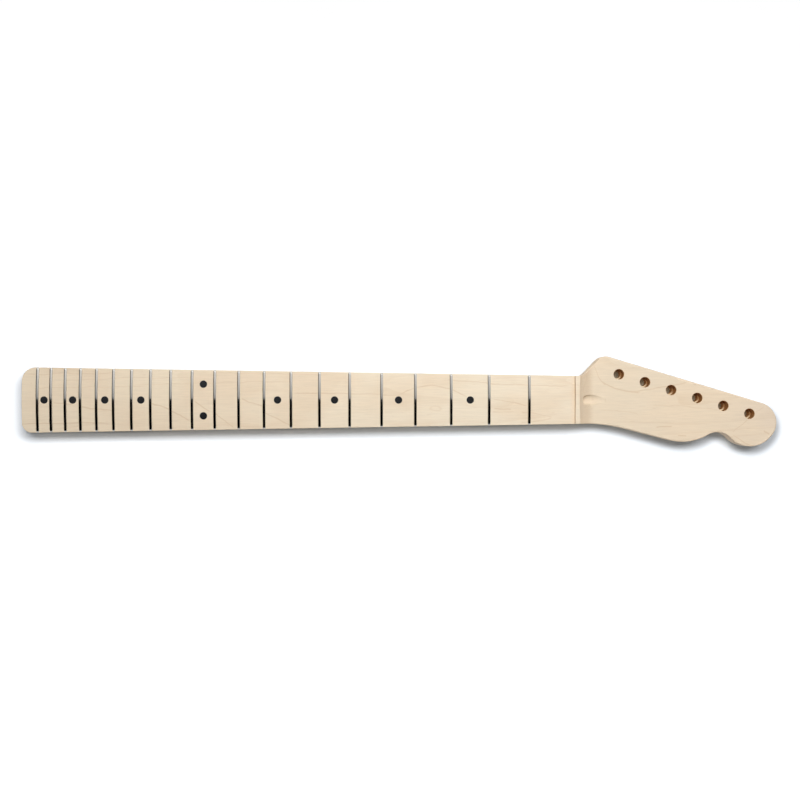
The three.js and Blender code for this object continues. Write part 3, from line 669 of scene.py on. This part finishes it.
# The height of a circle of radius 1 at a share of that radius.
def circle_height(node, share):
    square = node("MULTIPLY", {0: share, 1: share})
    rest = node("SUBTRACT", {0: 1.0, 1: square})
    return node("SQRT", {0: rest})


# How far the arched board has sunk at a place to the side.
def arch_drop(node, across, radius):
    share = node("DIVIDE", {0: across, 1: radius})
    fall = node("SUBTRACT", {0: circle_height(node, share), 1: 1.0})
    return node("MULTIPLY", {0: fall, 1: radius})


def finish_shape(node, shape, material):
    painted = node("GeometryNodeSetMaterial", {"Geometry": shape, "Material": material})
    node("NodeGroupOutput", {"Geometry": painted})


SHAPE = ("Geometry", "Geometry")


# A turned piece set at each point. With Arch Radius it sinks as the arched board does to each side.
def set_at_points():
    sockets = [SHAPE, ("Piece", "Object"), ("Turn", "Rotation"), ("Arch Radius", "Float")]
    sockets += [("Material", "Material")]
    tree, node, given = new_group("set_at_points", "GeometryNodeTree", sockets, SHAPE)
    piece = node("GeometryNodeObjectInfo", {"Object": given["Piece"]}).outputs["Geometry"]
    set_down = {"Points": given["Geometry"], "Instance": piece, "Rotation": given["Turn"]}
    copies = node("GeometryNodeInstanceOnPoints", set_down)
    solid = node("GeometryNodeRealizeInstances", {"Geometry": copies})
    place = node("SeparateXYZ", {0: node("GeometryNodeInputPosition")}).outputs
    offset = node("CombineXYZ", {"Z": arch_drop(node, place["Y"], given["Arch Radius"])})
    placed = node("GeometryNodeSetPosition", {"Geometry": solid, "Offset": offset})
    finish_shape(node, placed, given["Material"])
    return tree


at_points = set_at_points()


def rows_of(name, places, piece, material, turn=(0, 0, 0), arch=FLAT):
    inputs = {"Piece": piece, "Turn": turn, "Arch Radius": arch * MM, "Material": material}
    result = run_nodes(name, at_points, inputs, places)
    bpy.data.objects.remove(piece)
    return result


# The fret rule: each fret stands at the scale length times one less the twelfth root of a half to its
# number. A bar from -1 to 1 is set at each place, stretched to the board's width and bent over its arch.
CROWN_SQUARENESS = 2.4
END_FALL = 0.97
END_NARROWING = 0.35


def fret_tree():
    sizes = ["Scale Length", "Nut Place", "Nut Half Width", "Edge Slope", "Board Top", "Board Radius"]
    sizes += ["End Inset", "End Round", "Crown Width", "Crown Height"]
    sizes += ["Tang Width", "Tang Depth", "Tang Head"]
    sockets = [SHAPE, ("Fret Count", "Int"), ("Crowned", "Bool"), ("Material", "Material")]
    sockets += [(size, "Float") for size in sizes]
    tree, node, given = new_group("frets_by_the_scale", "GeometryNodeTree", sockets, SHAPE)
    line = node("GeometryNodeMeshLine", {"Count": given["Fret Count"], "Offset": (0, 0, 0)})
    number = node("ADD", {0: node("GeometryNodeInputIndex"), 1: 1.0})
    octaves = node("DIVIDE", {0: number, 1: -12.0})
    shortened = node("POWER", {0: 2.0, 1: octaves})
    share = node("SUBTRACT", {0: 1.0, 1: shortened})
    from_nut = node("MULTIPLY", {0: share, 1: given["Scale Length"]})
    place = node("SUBTRACT", {0: given["Nut Place"], 1: from_nut})
    widened = {0: from_nut, 1: given["Edge Slope"], 2: given["Nut Half Width"]}
    half = node("MULTIPLY_ADD", widened)
    kept = node("SUBTRACT", {0: half, 1: given["End Inset"]})
    for name, value in (("place", place), ("half", kept)):
        stored = {"Geometry": line, "Name": name, "Value": value}
        line = node("GeometryNodeStoreNamedAttribute", stored)

    bar_sizes = {"Vertices": 32, "Side Segments": 44, "Radius": 1.0, "Depth": 2.0}
    round_bar = node("GeometryNodeMeshCylinder", bar_sizes)
    point = node("SeparateXYZ", {0: node("GeometryNodeInputPosition")}).outputs
    upper = node("MAXIMUM", {0: point["Y"], 1: 0.0})
    full = node("POWER", {0: upper, 1: 2 / CROWN_SQUARENESS})
    high = node("MULTIPLY", {0: full, 1: given["Crown Height"]})
    aside = node("ABSOLUTE", {0: point["X"]})
    stretched = node("POWER", {0: aside, 1: 2 / CROWN_SQUARENESS})
    signed = node("SIGN", {0: point["X"]})
    outward = node("MULTIPLY", {0: stretched, 1: signed})
    feet = node("MULTIPLY", {0: given["Crown Width"], 1: 0.5})
    wide = node("MULTIPLY", {0: outward, 1: feet})
    back = node("MULTIPLY", {0: point["Z"], 1: -1.0})
    crown_place = node("CombineXYZ", {"X": wide, "Y": back, "Z": high})
    crown = node("GeometryNodeSetPosition", {"Geometry": round_bar, "Position": crown_place})
    tall = node("ADD", {0: given["Tang Depth"], 1: given["Tang Head"]})
    tang_size = node("CombineXYZ", {"X": given["Tang Width"], "Y": 2.0, "Z": tall})
    tang_sizes = {"Size": tang_size, "Vertices X": 2, "Vertices Y": 31, "Vertices Z": 2}
    tang_bar = node("GeometryNodeMeshCube", tang_sizes)
    gap = node("SUBTRACT", {0: given["Tang Head"], 1: given["Tang Depth"]})
    middle = node("MULTIPLY", {0: gap, 1: 0.5})
    sunk = node("CombineXYZ", {"Z": middle})
    tang = node("GeometryNodeSetPosition", {"Geometry": tang_bar, "Offset": sunk})
    if_crowned = {"Switch": given["Crowned"], "True": crown}
    shown = node("GeometryNodeSwitch", if_crowned, input_type="GEOMETRY")
    bar = node("GeometryNodeJoinGeometry", {"Geometry": shown})
    tree.links.new(tang.outputs[0], bar.inputs[0])
    copies = node("GeometryNodeInstanceOnPoints", {"Points": line, "Instance": bar})
    solid = node("GeometryNodeRealizeInstances", {"Geometry": copies})

    place = node("GeometryNodeInputNamedAttribute", {"Name": "place"})
    half = node("GeometryNodeInputNamedAttribute", {"Name": "half"})
    local = node("SeparateXYZ", {0: node("GeometryNodeInputPosition")}).outputs
    quarter = node("MULTIPLY", {0: local["Y"], 1: pi / 2})
    spread = node("SINE", {0: quarter})
    across = node("MULTIPLY", {0: spread, 1: half})
    away = node("ABSOLUTE", {0: across})
    round_from = node("SUBTRACT", {0: half, 1: given["End Round"]})
    into = {"Value": away, "From Min": round_from, "From Max": half, "To Max": END_FALL}
    low_share = circle_height(node, node("MapRange", into))
    wide_share = node("MapRange", {"Value": low_share, "To Min": END_NARROWING})
    above = node("MAXIMUM", {0: local["Z"], 1: 0.0})
    below = node("MINIMUM", {0: local["Z"], 1: 0.0})
    crown_z = node("MULTIPLY_ADD", {0: above, 1: low_share, 2: below})
    drop = arch_drop(node, across, given["Board Radius"])
    surface = node("ADD", {0: drop, 1: given["Board Top"]})
    z = node("ADD", {0: surface, 1: crown_z})
    x = node("MULTIPLY_ADD", {0: local["X"], 1: wide_share, 2: place})
    final = node("CombineXYZ", {"X": x, "Y": across, "Z": z})
    laid = node("GeometryNodeSetPosition", {"Geometry": solid, "Position": final})
    finish_shape(node, laid, given["Material"])
    return tree


fret_rule = fret_tree()
board_sizes = {
    "Fret Count": FRET_COUNT,
    "Scale Length": SCALE_LENGTH * MM,
    "Nut Place": NUT_X * MM,
    "Nut Half Width": NUT_WIDTH / 2 * MM,
    "Edge Slope": EDGE_SLOPE,
    "Board Top": BOARD_TOP * MM,
    "Board Radius": BOARD_RADIUS * MM,
}
slot_sizes = {
    "End Inset": -OVERRUN * MM,
    "End Round": SQUARE_END * MM,
    "Crowned": False,
    "Tang Width": FRET_SLOT_WIDTH * MM,
    "Tang Depth": FRET_SLOT_DEPTH * MM,
    "Tang Head": OVERRUN * MM,
    "Material": maple,
}
slots = run_nodes("slot_cutter", fret_rule, board_sizes | slot_sizes)

head_depth = HEAD_FACE - HEAD_BACK
bore_profile = [
    (0, -head_depth - OVERRUN),
    (POST_BORE / 2 + BACK_CHAMFER, -head_depth - OVERRUN),
    (POST_BORE / 2 + BACK_CHAMFER, -head_depth - PAST_FACE),
    (POST_BORE / 2, -head_depth - PAST_FACE + BACK_CHAMFER),
    (POST_BORE / 2, -BUSHING_BORE_DEPTH),
    (BUSHING_BORE / 2, -BUSHING_BORE_DEPTH),
    (BUSHING_BORE / 2, PAST_FACE - FACE_CHAMFER),
    (BUSHING_BORE / 2 + FACE_CHAMFER, PAST_FACE),
    (BUSHING_BORE / 2 + FACE_CHAMFER, OVERRUN),
    (0, OVERRUN),
]


# The walls of a bore are end grain that the drill has browned. The step in it holds painted shade and light:
# brown on its bass side and pale on its treble side, where the lamp reaches down the bore. The pattern is
# laid out in mm along and across the row of bores.
def bored_wood():
    material, node = new_material("bored_maple")
    facing = node("NewGeometry").outputs["Normal"]
    upright = node("SeparateXYZ", {0: facing}).outputs["Z"]
    level = node("ABSOLUTE", {0: upright})
    where = node("TexCoord").outputs["Object"]
    along_row = {"Location": FIRST_TUNER * MM, "Rotation": (0, 0, TUNER_LEAN), "Scale": (MM,) * 3}
    row = node("Mapping", {"Vector": where} | along_row, vector_type="TEXTURE")
    across = node("SeparateXYZ", {0: row}).outputs["Y"]
    marks = drawn_noise(node, row, (0.7, 0.7, 2.5), 3.0)
    wall = laid_over(node, marks, 0.3, 0.7, "#AA7746", "#C4935F")
    # Painted shade and light on the step: brown towards the bass side, pale towards the treble side.
    ledge_painted_shade_and_light = laid_over(node, across, 0.5, -3.4, "#AF8559", "#F1E2C0")
    colour = laid_over(node, level, 0.5, 0.9, wall, ledge_painted_shade_and_light)
    relief = node("Bump", {"Height": marks, "Strength": 0.3, "Distance": 0.0002})
    looks = {"Base Color": colour, "Roughness": 0.75, "Specular IOR Level": 0.25, "Normal": relief}
    finish_material(node, looks)
    return material


along_tuners = Vector((cos(TUNER_LEAN), sin(TUNER_LEAN), 0))
tuner_places = [FIRST_TUNER + along_tuners * TUNER_PITCH * i for i in range(TUNER_COUNT)]
bores = rows_of("bore_cutter", tuner_places, turned("bore", bore_profile, FINE), bored_wood())

DOT_FRETS = (3, 5, 7, 9, 12, 15, 17, 19, 21)
DOT_DIAMETER = 6.35
DOT_THICKNESS = 1.5
TWELFTH_SPACING = 27
SIDE_DOT_DIAMETER = 2
SIDE_DOT_DEPTH = 2
SIDE_DOT_BELOW_EDGE = 2.6
SIDE_TWELFTH_SPACING = 7
TO_BASS_SIDE = (-pi / 2, 0, 0)

dot_places = []
side_dot_places = []
for number in DOT_FRETS:
    x = (fret_x(number) + fret_x(number - 1)) / 2
    pair = (1, -1) if number == 12 else (0,)
    for side in pair:
        dot_places.append((x, side * TWELFTH_SPACING / 2, BOARD_TOP))
        along = x + side * SIDE_TWELFTH_SPACING / 2
        edge = board_half(along)
        side_dot_places.append((along, edge, board_height(along, edge) - SIDE_DOT_BELOW_EDGE))

pocket = plain_round("pocket", DOT_DIAMETER / 2, -DOT_THICKNESS, OVERRUN, FINE)
pockets = rows_of("pocket_cutter", dot_places, pocket, maple, arch=BOARD_RADIUS)
pocket = plain_round("side_pocket", SIDE_DOT_DIAMETER / 2, -SIDE_DOT_DEPTH, OVERRUN, COARSE)
side_pockets = rows_of("side_pocket_cutter", side_dot_places, pocket, maple, TO_BASS_SIDE)
side = NUT_WIDTH / 2 + 2 * OVERRUN
slot_end = NUT_X + NUT_SLOT_WIDTH
slot_plan = [(NUT_X, -side), (slot_end, -side), (slot_end, side), (NUT_X, side)]
nut_slot = prism("nut_slot_cutter", slot_plan, BOARD_TOP - NUT_SLOT_DEPTH, BOARD_TOP + OVERRUN, maple)
channel = prism("channel_cutter", routed_slot(0), -OVERRUN, CHANNEL_CEILING, maple)


def laid_bar(name, diameter, start, length, slope, facets=FINEST, nose=0):
    radius = diameter / 2
    turns = [pi / 2 * i / QUARTER_STEPS for i in range(1, QUARTER_STEPS + 1)] if nose else [pi / 2]
    profile = [(0, 0)] + [(radius * sin(turn), nose * (1 - cos(turn))) for turn in turns]
    bar = turned(name, profile + [(radius, length), (0, length)], facets, maple)
    for vertex in bar.data.vertices:
        up, across, along = vertex.co
        x = start[0] * MM + along * cos(slope) - up * sin(slope)
        z = start[1] * MM + along * sin(slope) + up * cos(slope)
        vertex.co = (x, across, z)
    bar.data.flip_normals()
    return bar


nut_bore = laid_bar("nut_bore_cutter", KEY_BORE, (HEAD_BLOCK_X, ROD_AXIS), NUT_X - HEAD_BLOCK_X, 0, FINE)
key_start = (NUT_X - KEY_SET_BACK * cos(KEY_SLOPE), ROD_AXIS - KEY_SET_BACK * sin(KEY_SLOPE))
key_bore = laid_bar("key_bore_cutter", KEY_BORE, key_start, KEY_REACH, KEY_SLOPE)
key_tail = laid_bar("key_tail_cutter", TAIL_BORE, TAIL_START, TAIL_LENGTH, TAIL_SLOPE, nose=TAIL_BORE / 2)


def cut(piece, cutter, operation="DIFFERENCE"):
    modifier = piece.modifiers.new("cut", "BOOLEAN")
    modifier.operation = operation
    modifier.solver = "MANIFOLD"
    modifier.material_mode = "TRANSFER"
    modifier.object = cutter
    applied(piece)
    bpy.data.objects.remove(cutter)


def smooth(piece, angle=30):
    piece.data.shade_smooth()
    piece.data.set_sharp_from_angle(angle=radians(angle))


uncut = put_in_scene("uncut_blank", blank.data.copy())
for cutter in (slots, bores, pockets, side_pockets, nut_slot, channel, nut_bore, key_bore, key_tail):
    cut(blank, cutter)
smooth(blank)
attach(blank, "neck")
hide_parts("neck")


# The walnut fillet: a strip of black walnut glued into the channel behind the rod, then shaped flush with
# the neck's back.
GLUE_GAP = 0.06
FILLET_TOP = 8.98


# Black walnut, planed: dark brown in slow bands, with open pores drawn out along the strip. The pores are
# a fifth of a millimetre wide in life, and are drawn three times as wide so that they show.
def walnut_wood():
    material, node = new_material("black_walnut")
    where = node("TexCoord").outputs["Object"]
    place = node("Mapping", {"Vector": where, "Scale": (1000,) * 3})
    fibre = drawn_noise(node, place, (0.05, 1.1, 1.1), 4.0)
    streaked = laid_over(node, fibre, 0.0, 1.0, "#4A2E1D", "#6C4830")
    band = drawn_noise(node, place, (0.01, 0.3, 0.3), 1.0)
    warm = laid_over(node, band, 0.4, 0.7, streaked, "#7B5638", 0.5)
    pore = drawn_noise(node, place, (0.13, 1.6, 1.6), 1.0)
    colour = laid_over(node, pore, 0.6, 0.72, warm, "#2B190F", 0.7)
    roughness = node("MapRange", {"Value": fibre, "To Min": 0.52, "To Max": 0.7})
    relief = node("Bump", {"Height": fibre, "Strength": 0.12, "Distance": 0.0002})
    finish_material(node, {"Base Color": colour, "Roughness": roughness, "Normal": relief})
    return material


walnut = walnut_wood()
fillet = prism("walnut_fillet_strip", routed_slot(GLUE_GAP), -OVERRUN, FILLET_TOP, walnut)
uncut.data.materials.clear()
uncut.data.materials.append(walnut)
cut(fillet, uncut, "INTERSECT")
smooth(fillet)
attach(fillet, "neck")
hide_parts("walnut_fillet")


# The frets: half-round wire of nickel silver, pressed into the slots by its tang, with the ends filed
# round and the crowns polished.
FRET_END_INSET = 0.15
FRET_END_ROUND = 1.3
CROWN_WIDTH = 2.6
CROWN_HEIGHT = 1.1
TANG_WIDTH = 0.5
TANG_DEPTH = 1.5
TANG_HEAD = 0.2


# A surface worked in one direction keeps faint lines along it. They are hundredths of a millimetre apart
# in life, and are drawn in tenths so that they show: they cloud the shine and catch the light on one side.
def worked_surface(name, lines_per_mm, dark, light, roughness, relief, **constants):
    material, node = new_material(name)
    where = node("TexCoord").outputs["Object"]
    lines = drawn_noise(node, where, [1000 * count for count in lines_per_mm], 3.0, Roughness=0.6)
    colour = laid_over(node, lines, 0.3, 0.7, dark, light)
    smooth_to_rough = {"To Min": roughness[0], "To Max": roughness[1]}
    dull = node("MapRange", {"Value": lines, "From Min": 0.3, "From Max": 0.7} | smooth_to_rough)
    scored = node("Bump", {"Height": lines, "Strength": relief, "Distance": 0.00005})
    finish_material(node, {"Base Color": colour, "Roughness": dull, "Normal": scored} | constants)
    return material


# Nickel silver, filed and polished along the wire: a warm grey mirror with a trace of the file left in it.
nickel_silver = worked_surface(
    "polished_nickel_silver", (5, 0.15, 5), "#B9B7B1", "#C1BFBB", (0.05, 0.085), 0.05, Metallic=1.0
)
wire_sizes = {
    "End Inset": FRET_END_INSET * MM,
    "End Round": FRET_END_ROUND * MM,
    "Crowned": True,
    "Crown Width": CROWN_WIDTH * MM,
    "Crown Height": CROWN_HEIGHT * MM,
    "Tang Width": TANG_WIDTH * MM,
    "Tang Depth": TANG_DEPTH * MM,
    "Tang Head": TANG_HEAD * MM,
    "Material": nickel_silver,
}
frets = run_nodes("fret_wires", fret_rule, board_sizes | wire_sizes)
smooth(frets, angle=40)
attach(frets, "neck")
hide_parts(*[f"fret_{number:02d}" for number in range(1, FRET_COUNT + 1)])


# The position dots: discs punched from black plastic sheet, glued into shallow pockets and sanded flush
# with the board, and short black rods in the bass side that the player sees.
DOT_CLEARANCE = 0.04
DOT_EDGE = 0.12
DOT_RIM_INSET = 1.6 * DOT_EDGE
DOT_RIM_RISE = 0.003
# Each is a share of the dot's radius and the height of its dome there.
DOT_CROWN = [(0.6, 0.02), (0.3, 0.03), (0, 0.035)]

# ABS, dyed black and sanded with the board: nearly black, dulled by fine scratches along the neck.
black_plastic = worked_surface(
    "sanded_black_plastic", (0.5, 4, 4), "#101114", "#191A1E", (0.34, 0.5), 0.1, **{"Specular IOR Level": 0.3}
)


def rounded_plug(name, diameter, depth, facets):
    radius = diameter / 2 - DOT_CLEARANCE
    low = -depth + DOT_CLEARANCE
    flat = radius - DOT_EDGE
    turns = [pi / 8, pi / 4, pi * 3 / 8]
    profile = [(0, low), (radius, low), (radius, -DOT_EDGE)]
    profile += [(flat + DOT_EDGE * cos(turn), -DOT_EDGE + DOT_EDGE * sin(turn)) for turn in turns]
    profile += [(flat, 0), (radius - DOT_RIM_INSET, DOT_RIM_RISE)]
    profile += [(radius * share, height) for share, height in DOT_CROWN]
    return turned(name, profile, facets)


plug = rounded_plug("dot", DOT_DIAMETER, DOT_THICKNESS, FINE)
face_dots = rows_of("face_dots", dot_places, plug, black_plastic, arch=BOARD_RADIUS)
plug = rounded_plug("side_dot", SIDE_DOT_DIAMETER, SIDE_DOT_DEPTH, COARSE)
side_dots = rows_of("side_dots", side_dot_places, plug, black_plastic, TO_BASS_SIDE)
for dots, start in ((face_dots, "dot_"), (side_dots, "side_dot_")):
    smooth(dots)
    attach(dots, "neck")
    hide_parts(*[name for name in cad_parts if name.startswith(start)])


# The truss rod: a steel rod with a socket nut at the head, over a flat bar, through two brass blocks.
# Cold-drawn steel is grey with long lines from the die, and sawn brass yellow with short ones from the blade.
steel = worked_surface("drawn_steel", (0.12, 3, 3), "#7C7E82", "#94969A", (0.28, 0.44), 0.2, Metallic=1.0)
brass = worked_surface("sawn_brass", (4, 0.5, 0.5), "#A5843A", "#BE9B47", (0.3, 0.46), 0.3, Metallic=1.0)
rod_pieces = {"truss_rod": steel, "truss_rod_nut": steel, "truss_bar": steel}
rod_pieces |= {"truss_block_head": brass, "truss_block_heel": brass}
for name, material in rod_pieces.items():
    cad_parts[name].data.materials.clear()
    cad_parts[name].data.materials.append(material)


# The floor: matt white board, on which the neck lies on the flat of its heel. It is kept white to the
# horizon by a glow that only the camera and mirrors see, and that fades in the neck's shade. Glow and tint
# are laid down on a grid that is fine round the neck, by how far a place is from the edge of that shade. The
# tint holds painted shade: the board is painted darker just past the neck's treble edge and most under the
# head, where the lamp's own shadow falls short, dark brown under the neck where the bores show it, and a
# little blue near the neck to cool the shade.
FLOOR_DROP = 0.05
LAMP_PLACE = (0.41, 0.29, 1.0)
ROOM_SHARE = 0.19
LAMP_SHARE = 0.7
LAMP_PEAK = 1.116
LAMP_STRETCH = 0.7
FULL_WHITE = 1.1
LEAST_GLOW = 0.08
SHADE_LAMP_X = 277.9
SHADE_LAMP_HEIGHT = 780
SHADE_SHIFT = 4.9
SHADE_EDGE = [-4.9, -4.05, -3.2, -2.3, -1.4, -0.5, 0.35, 1.2, 2.1, 3.0, 3.9, 5.3, 40]
GLOW_SHARE = [0, 0.1, 0.25, 0.3, 0.3, 0.3, 0.35, 0.5, 0.6, 0.7, 0.8, 1.1, 1.0]
# Painted shade: shares by which the board's colour is darkened past the neck's edge and under the head.
NECK_SHADE = [0.5, 0.75, 0.88, 0.95, 0.98, 1, 1, 1, 1, 1, 1, 1, 1]
HEAD_SHADE = [0.8, 0.78, 0.66, 0.56, 0.55, 0.58, 0.62, 0.69, 0.76, 0.84, 0.9, 0.97, 1.0]
HEAD_SHADE_START = 440
HEAD_SHADE_LENGTH = 95
BELOW_START = 2
BELOW_FADE = 4
NEAR_BAND = (8, 40)
BOARD_WHITE = 0.95
BOARD_NEAR = np.array((0.875, 0.925, 0.985))
# Painted shade under the neck, where it shows through the bores.
BOARD_PAINTED_SHADE_BELOW = np.array((0.46, 0.41, 0.33))


def signed_gap(edge, places):
    gap = np.full(len(places), FAR_OFF)
    for start, end in zip(edge, np.roll(edge, -1, axis=0)):
        span = end - start
        share = np.clip((places - start) @ span / max(span @ span, 1e-9), 0, 1)
        gap = np.minimum(gap, np.hypot(*(places - start - share[:, None] * span).T))
    return np.where(within(edge, places), -gap, gap)


def seen_by(node, *kinds):
    rays = node("LightPath").outputs
    seen = 0.0
    for kind in kinds:
        seen = node("MAXIMUM", {0: seen, 1: rays[f"Is {kind} Ray"]})
    return seen


def matt_board():
    material, node = new_material("matt_white_board")
    lift = node("Attribute", attribute_name="glow").outputs["Fac"]
    glow = node("MULTIPLY", {0: lift, 1: seen_by(node, "Camera", "Glossy")})
    # The board's colour, with its painted shade in it.
    tint = node("Attribute", attribute_name="tint").outputs["Color"]
    where = node("TexCoord").outputs["Object"]
    grit = node("TexNoise", {"Vector": where, "Scale": 900.0})
    relief = node("Bump", {"Height": grit, "Strength": 0.05, "Distance": 0.0002})
    looks = {"Base Color": tint, "Roughness": 0.9, "Specular IOR Level": 0.0, "Normal": relief}
    looks |= {"Emission Color": (1, 1, 1, 1), "Emission Strength": glow}
    face = node("BsdfPrincipled", looks)
    backwards = node("NewGeometry").outputs["Backfacing"]
    unseen = node("MAXIMUM", {0: backwards, 1: seen_by(node, "Shadow")})
    clear = node("BsdfTransparent")
    one_sided = node("MixShader", {0: unseen, 1: face, 2: clear})
    node("OutputMaterial", {"Surface": one_sided})
    return material


def floor_board():
    columns = [(-3500, 400), (-1800, 200), (-800, 100), (-200, 20), (-80, 2.5), (660, 20), (800, 100)]
    columns = stepped(columns + [(1400, 200), (2400, 400), (3800, 0)]) + [3800]
    rows = [(-3000, 400), (-1600, 200), (-800, 100), (-200, 20), (-75, 2.5), (75, 20), (200, 100)]
    rows = stepped(rows + [(800, 200), (1600, 400), (3000, 0)]) + [3000]
    deep = len(rows)
    corner = [i * deep + j for i in range(len(columns) - 1) for j in range(deep - 1)]
    faces = [(k, k + deep, k + deep + 1, k + 1) for k in corner]
    places = np.array([(x, y) for x in columns for y in rows], dtype=float)
    board = mesh_piece("floor", [(x, y, -FLOOR_DROP) for x, y in places], faces, matt_board())

    shade = []
    for point, _ in outline:
        spread = 1 / (1 - top_height(point.x, point.y) / SHADE_LAMP_HEIGHT)
        shade.append((SHADE_LAMP_X + (point.x - SHADE_LAMP_X) * spread, point.y * spread))
    shade = np.array(shade)
    under = signed_gap(shade, places)
    past = signed_gap(shade - (0, SHADE_SHIFT), places)
    along, across = (places * MM - LAMP_PLACE[:2]).T
    lamp_light = ROOM_SHARE + LAMP_SHARE * (LAMP_PEAK / (1 + LAMP_STRETCH * along**2 + across**2)) ** 2
    glow = np.maximum(FULL_WHITE - lamp_light, LEAST_GLOW) * np.interp(past, SHADE_EDGE, GLOW_SHARE)
    # Painted shade in the board's colour: darker past the neck's edge and under the head, dark brown under
    # the neck.
    at_head = np.array([eased(HEAD_SHADE_START, HEAD_SHADE_LENGTH, x) for x in places[:, 0]])
    dimmed = [np.interp(past, SHADE_EDGE, shares) for shares in (NECK_SHADE, HEAD_SHADE)]
    dimmed = lerp(*dimmed, at_head)
    below = np.clip((-under - BELOW_START) / BELOW_FADE, 0, 1)[:, None]
    near = np.interp(past, NEAR_BAND, (1, 0))[:, None]
    white = lerp(np.full(3, BOARD_WHITE), BOARD_NEAR, near)
    tint = lerp(white * dimmed[:, None], BOARD_PAINTED_SHADE_BELOW, below)
    board.data.attributes.new("glow", "FLOAT", "POINT").data.foreach_set("value", glow.astype("f"))
    colours = np.hstack([tint, np.ones((len(tint), 1))]).astype("f").ravel()
    board.data.attributes.new("tint", "FLOAT_COLOR", "POINT").data.foreach_set("color", colours)
    return board


floor_board()


# The studio: a soft lamp over the bass side, a weak one under the floor for what is seen from below, and a
# white room. Only gloss sees the two cards that the frets mirror: one overhead, dark over the treble side
# and paler over the bass side, and a black one past the heel.
LAMP_WIDTH = 0.9
LAMP_TILT = -atan(LAMP_PLACE[1] / LAMP_PLACE[2])
ROOM_LIGHT = 0.2
CARD_LIT_FROM = 0.016
for name, depth, energy, place, turn in (
    ("soft_lamp", 0.26, 9.5, LAMP_PLACE, LAMP_TILT),
    ("low_lamp", 0.5, 2.0, (0.28, 0, -0.9), pi),
):
    light = bpy.data.lights.new(name, "AREA")
    light.shape = "RECTANGLE"
    light.size = LAMP_WIDTH
    light.size_y = depth
    light.energy = energy
    lamp = put_in_scene(name, light)
    lamp.location = place
    lamp.rotation_euler = (turn, 0, 0)
    lamp.visible_glossy = False

bpy.context.scene.world, node = emptied(bpy.data.worlds.new("white_room"))
seen = seen_by(node, "Camera", "Glossy", "Transmission")
strength = node("MapRange", {"Value": seen, "To Min": ROOM_LIGHT})
background = node("Background", {"Color": (1, 1, 1, 1), "Strength": strength})
node("OutputWorld", {"Surface": background})


def graded_card():
    material, node = new_material("graded_card")
    where = node("TexCoord").outputs["Object"]
    place = node("SeparateXYZ", {0: where}).outputs
    lit = node("GREATER_THAN", {0: place["Y"], 1: CARD_LIT_FROM})
    overhead = node("MapRange", {"Value": place["Y"], "From Max": 0.4, "To Min": 0.56, "To Max": 1.25})
    beyond = node("MapRange", {"Value": place["Y"], "From Min": 0.5, "From Max": 0.9, "To Max": 0.9})
    graded = node("ADD", {0: overhead, 1: beyond})
    to_the_heel = {"Value": place["X"], "From Min": -1.7, "From Max": -0.5, "To Min": 0.06}
    heelward = node("MapRange", to_the_heel, interpolation_type="SMOOTHSTEP")
    dimmed = node("MULTIPLY", {0: graded, 1: heelward})
    glow = node("MULTIPLY", {0: lit, 1: dimmed})
    emission = node("Emission", {"Color": (1, 1, 1, 1), "Strength": glow})
    node("OutputMaterial", {"Surface": emission})
    return material


def black_card():
    material, node = new_material("black_card")
    finish_material(node, {"Base Color": (0, 0, 0, 1), "Roughness": 1.0, "Specular IOR Level": 0.0})
    return material


HEELWARD, HEADWARD = -2400, 6500
TREBLEWARD, BASSWARD = -1300, 2100
CARD_FOOT, CARD_HEIGHT = -40, 1600
lid_corners = [(x, y, CARD_HEIGHT) for x in (HEELWARD, HEADWARD) for y in (TREBLEWARD, BASSWARD)]
wall_corners = [(HEELWARD, y, z) for y in (TREBLEWARD, BASSWARD) for z in (CARD_FOOT, CARD_HEIGHT)]
lid = mesh_piece("graded_card", lid_corners, [(0, 2, 3, 1)], graded_card())
wall = mesh_piece("black_card", wall_corners, [(0, 1, 3, 2)], black_card())
for card in (lid, wall):
    card.visible_camera = False
    card.visible_diffuse = False
    card.visible_shadow = False
    card.visible_transmission = False

# The camera looks straight down on the floor.
CAMERA_PLACE = (0.277891, 0, 0.779258)
CAMERA_LEAN = -0.00762
camera_data = bpy.data.cameras.new("camera")
camera_data.lens = 39.796
camera_data.sensor_width = 36
camera_data.clip_start = 0.05
camera = put_in_scene("camera", camera_data)
camera.location = CAMERA_PLACE
camera.rotation_euler = (0, CAMERA_LEAN, 0)
bpy.context.scene.camera = camera
bpy.context.scene.view_settings.view_transform = "Standard"
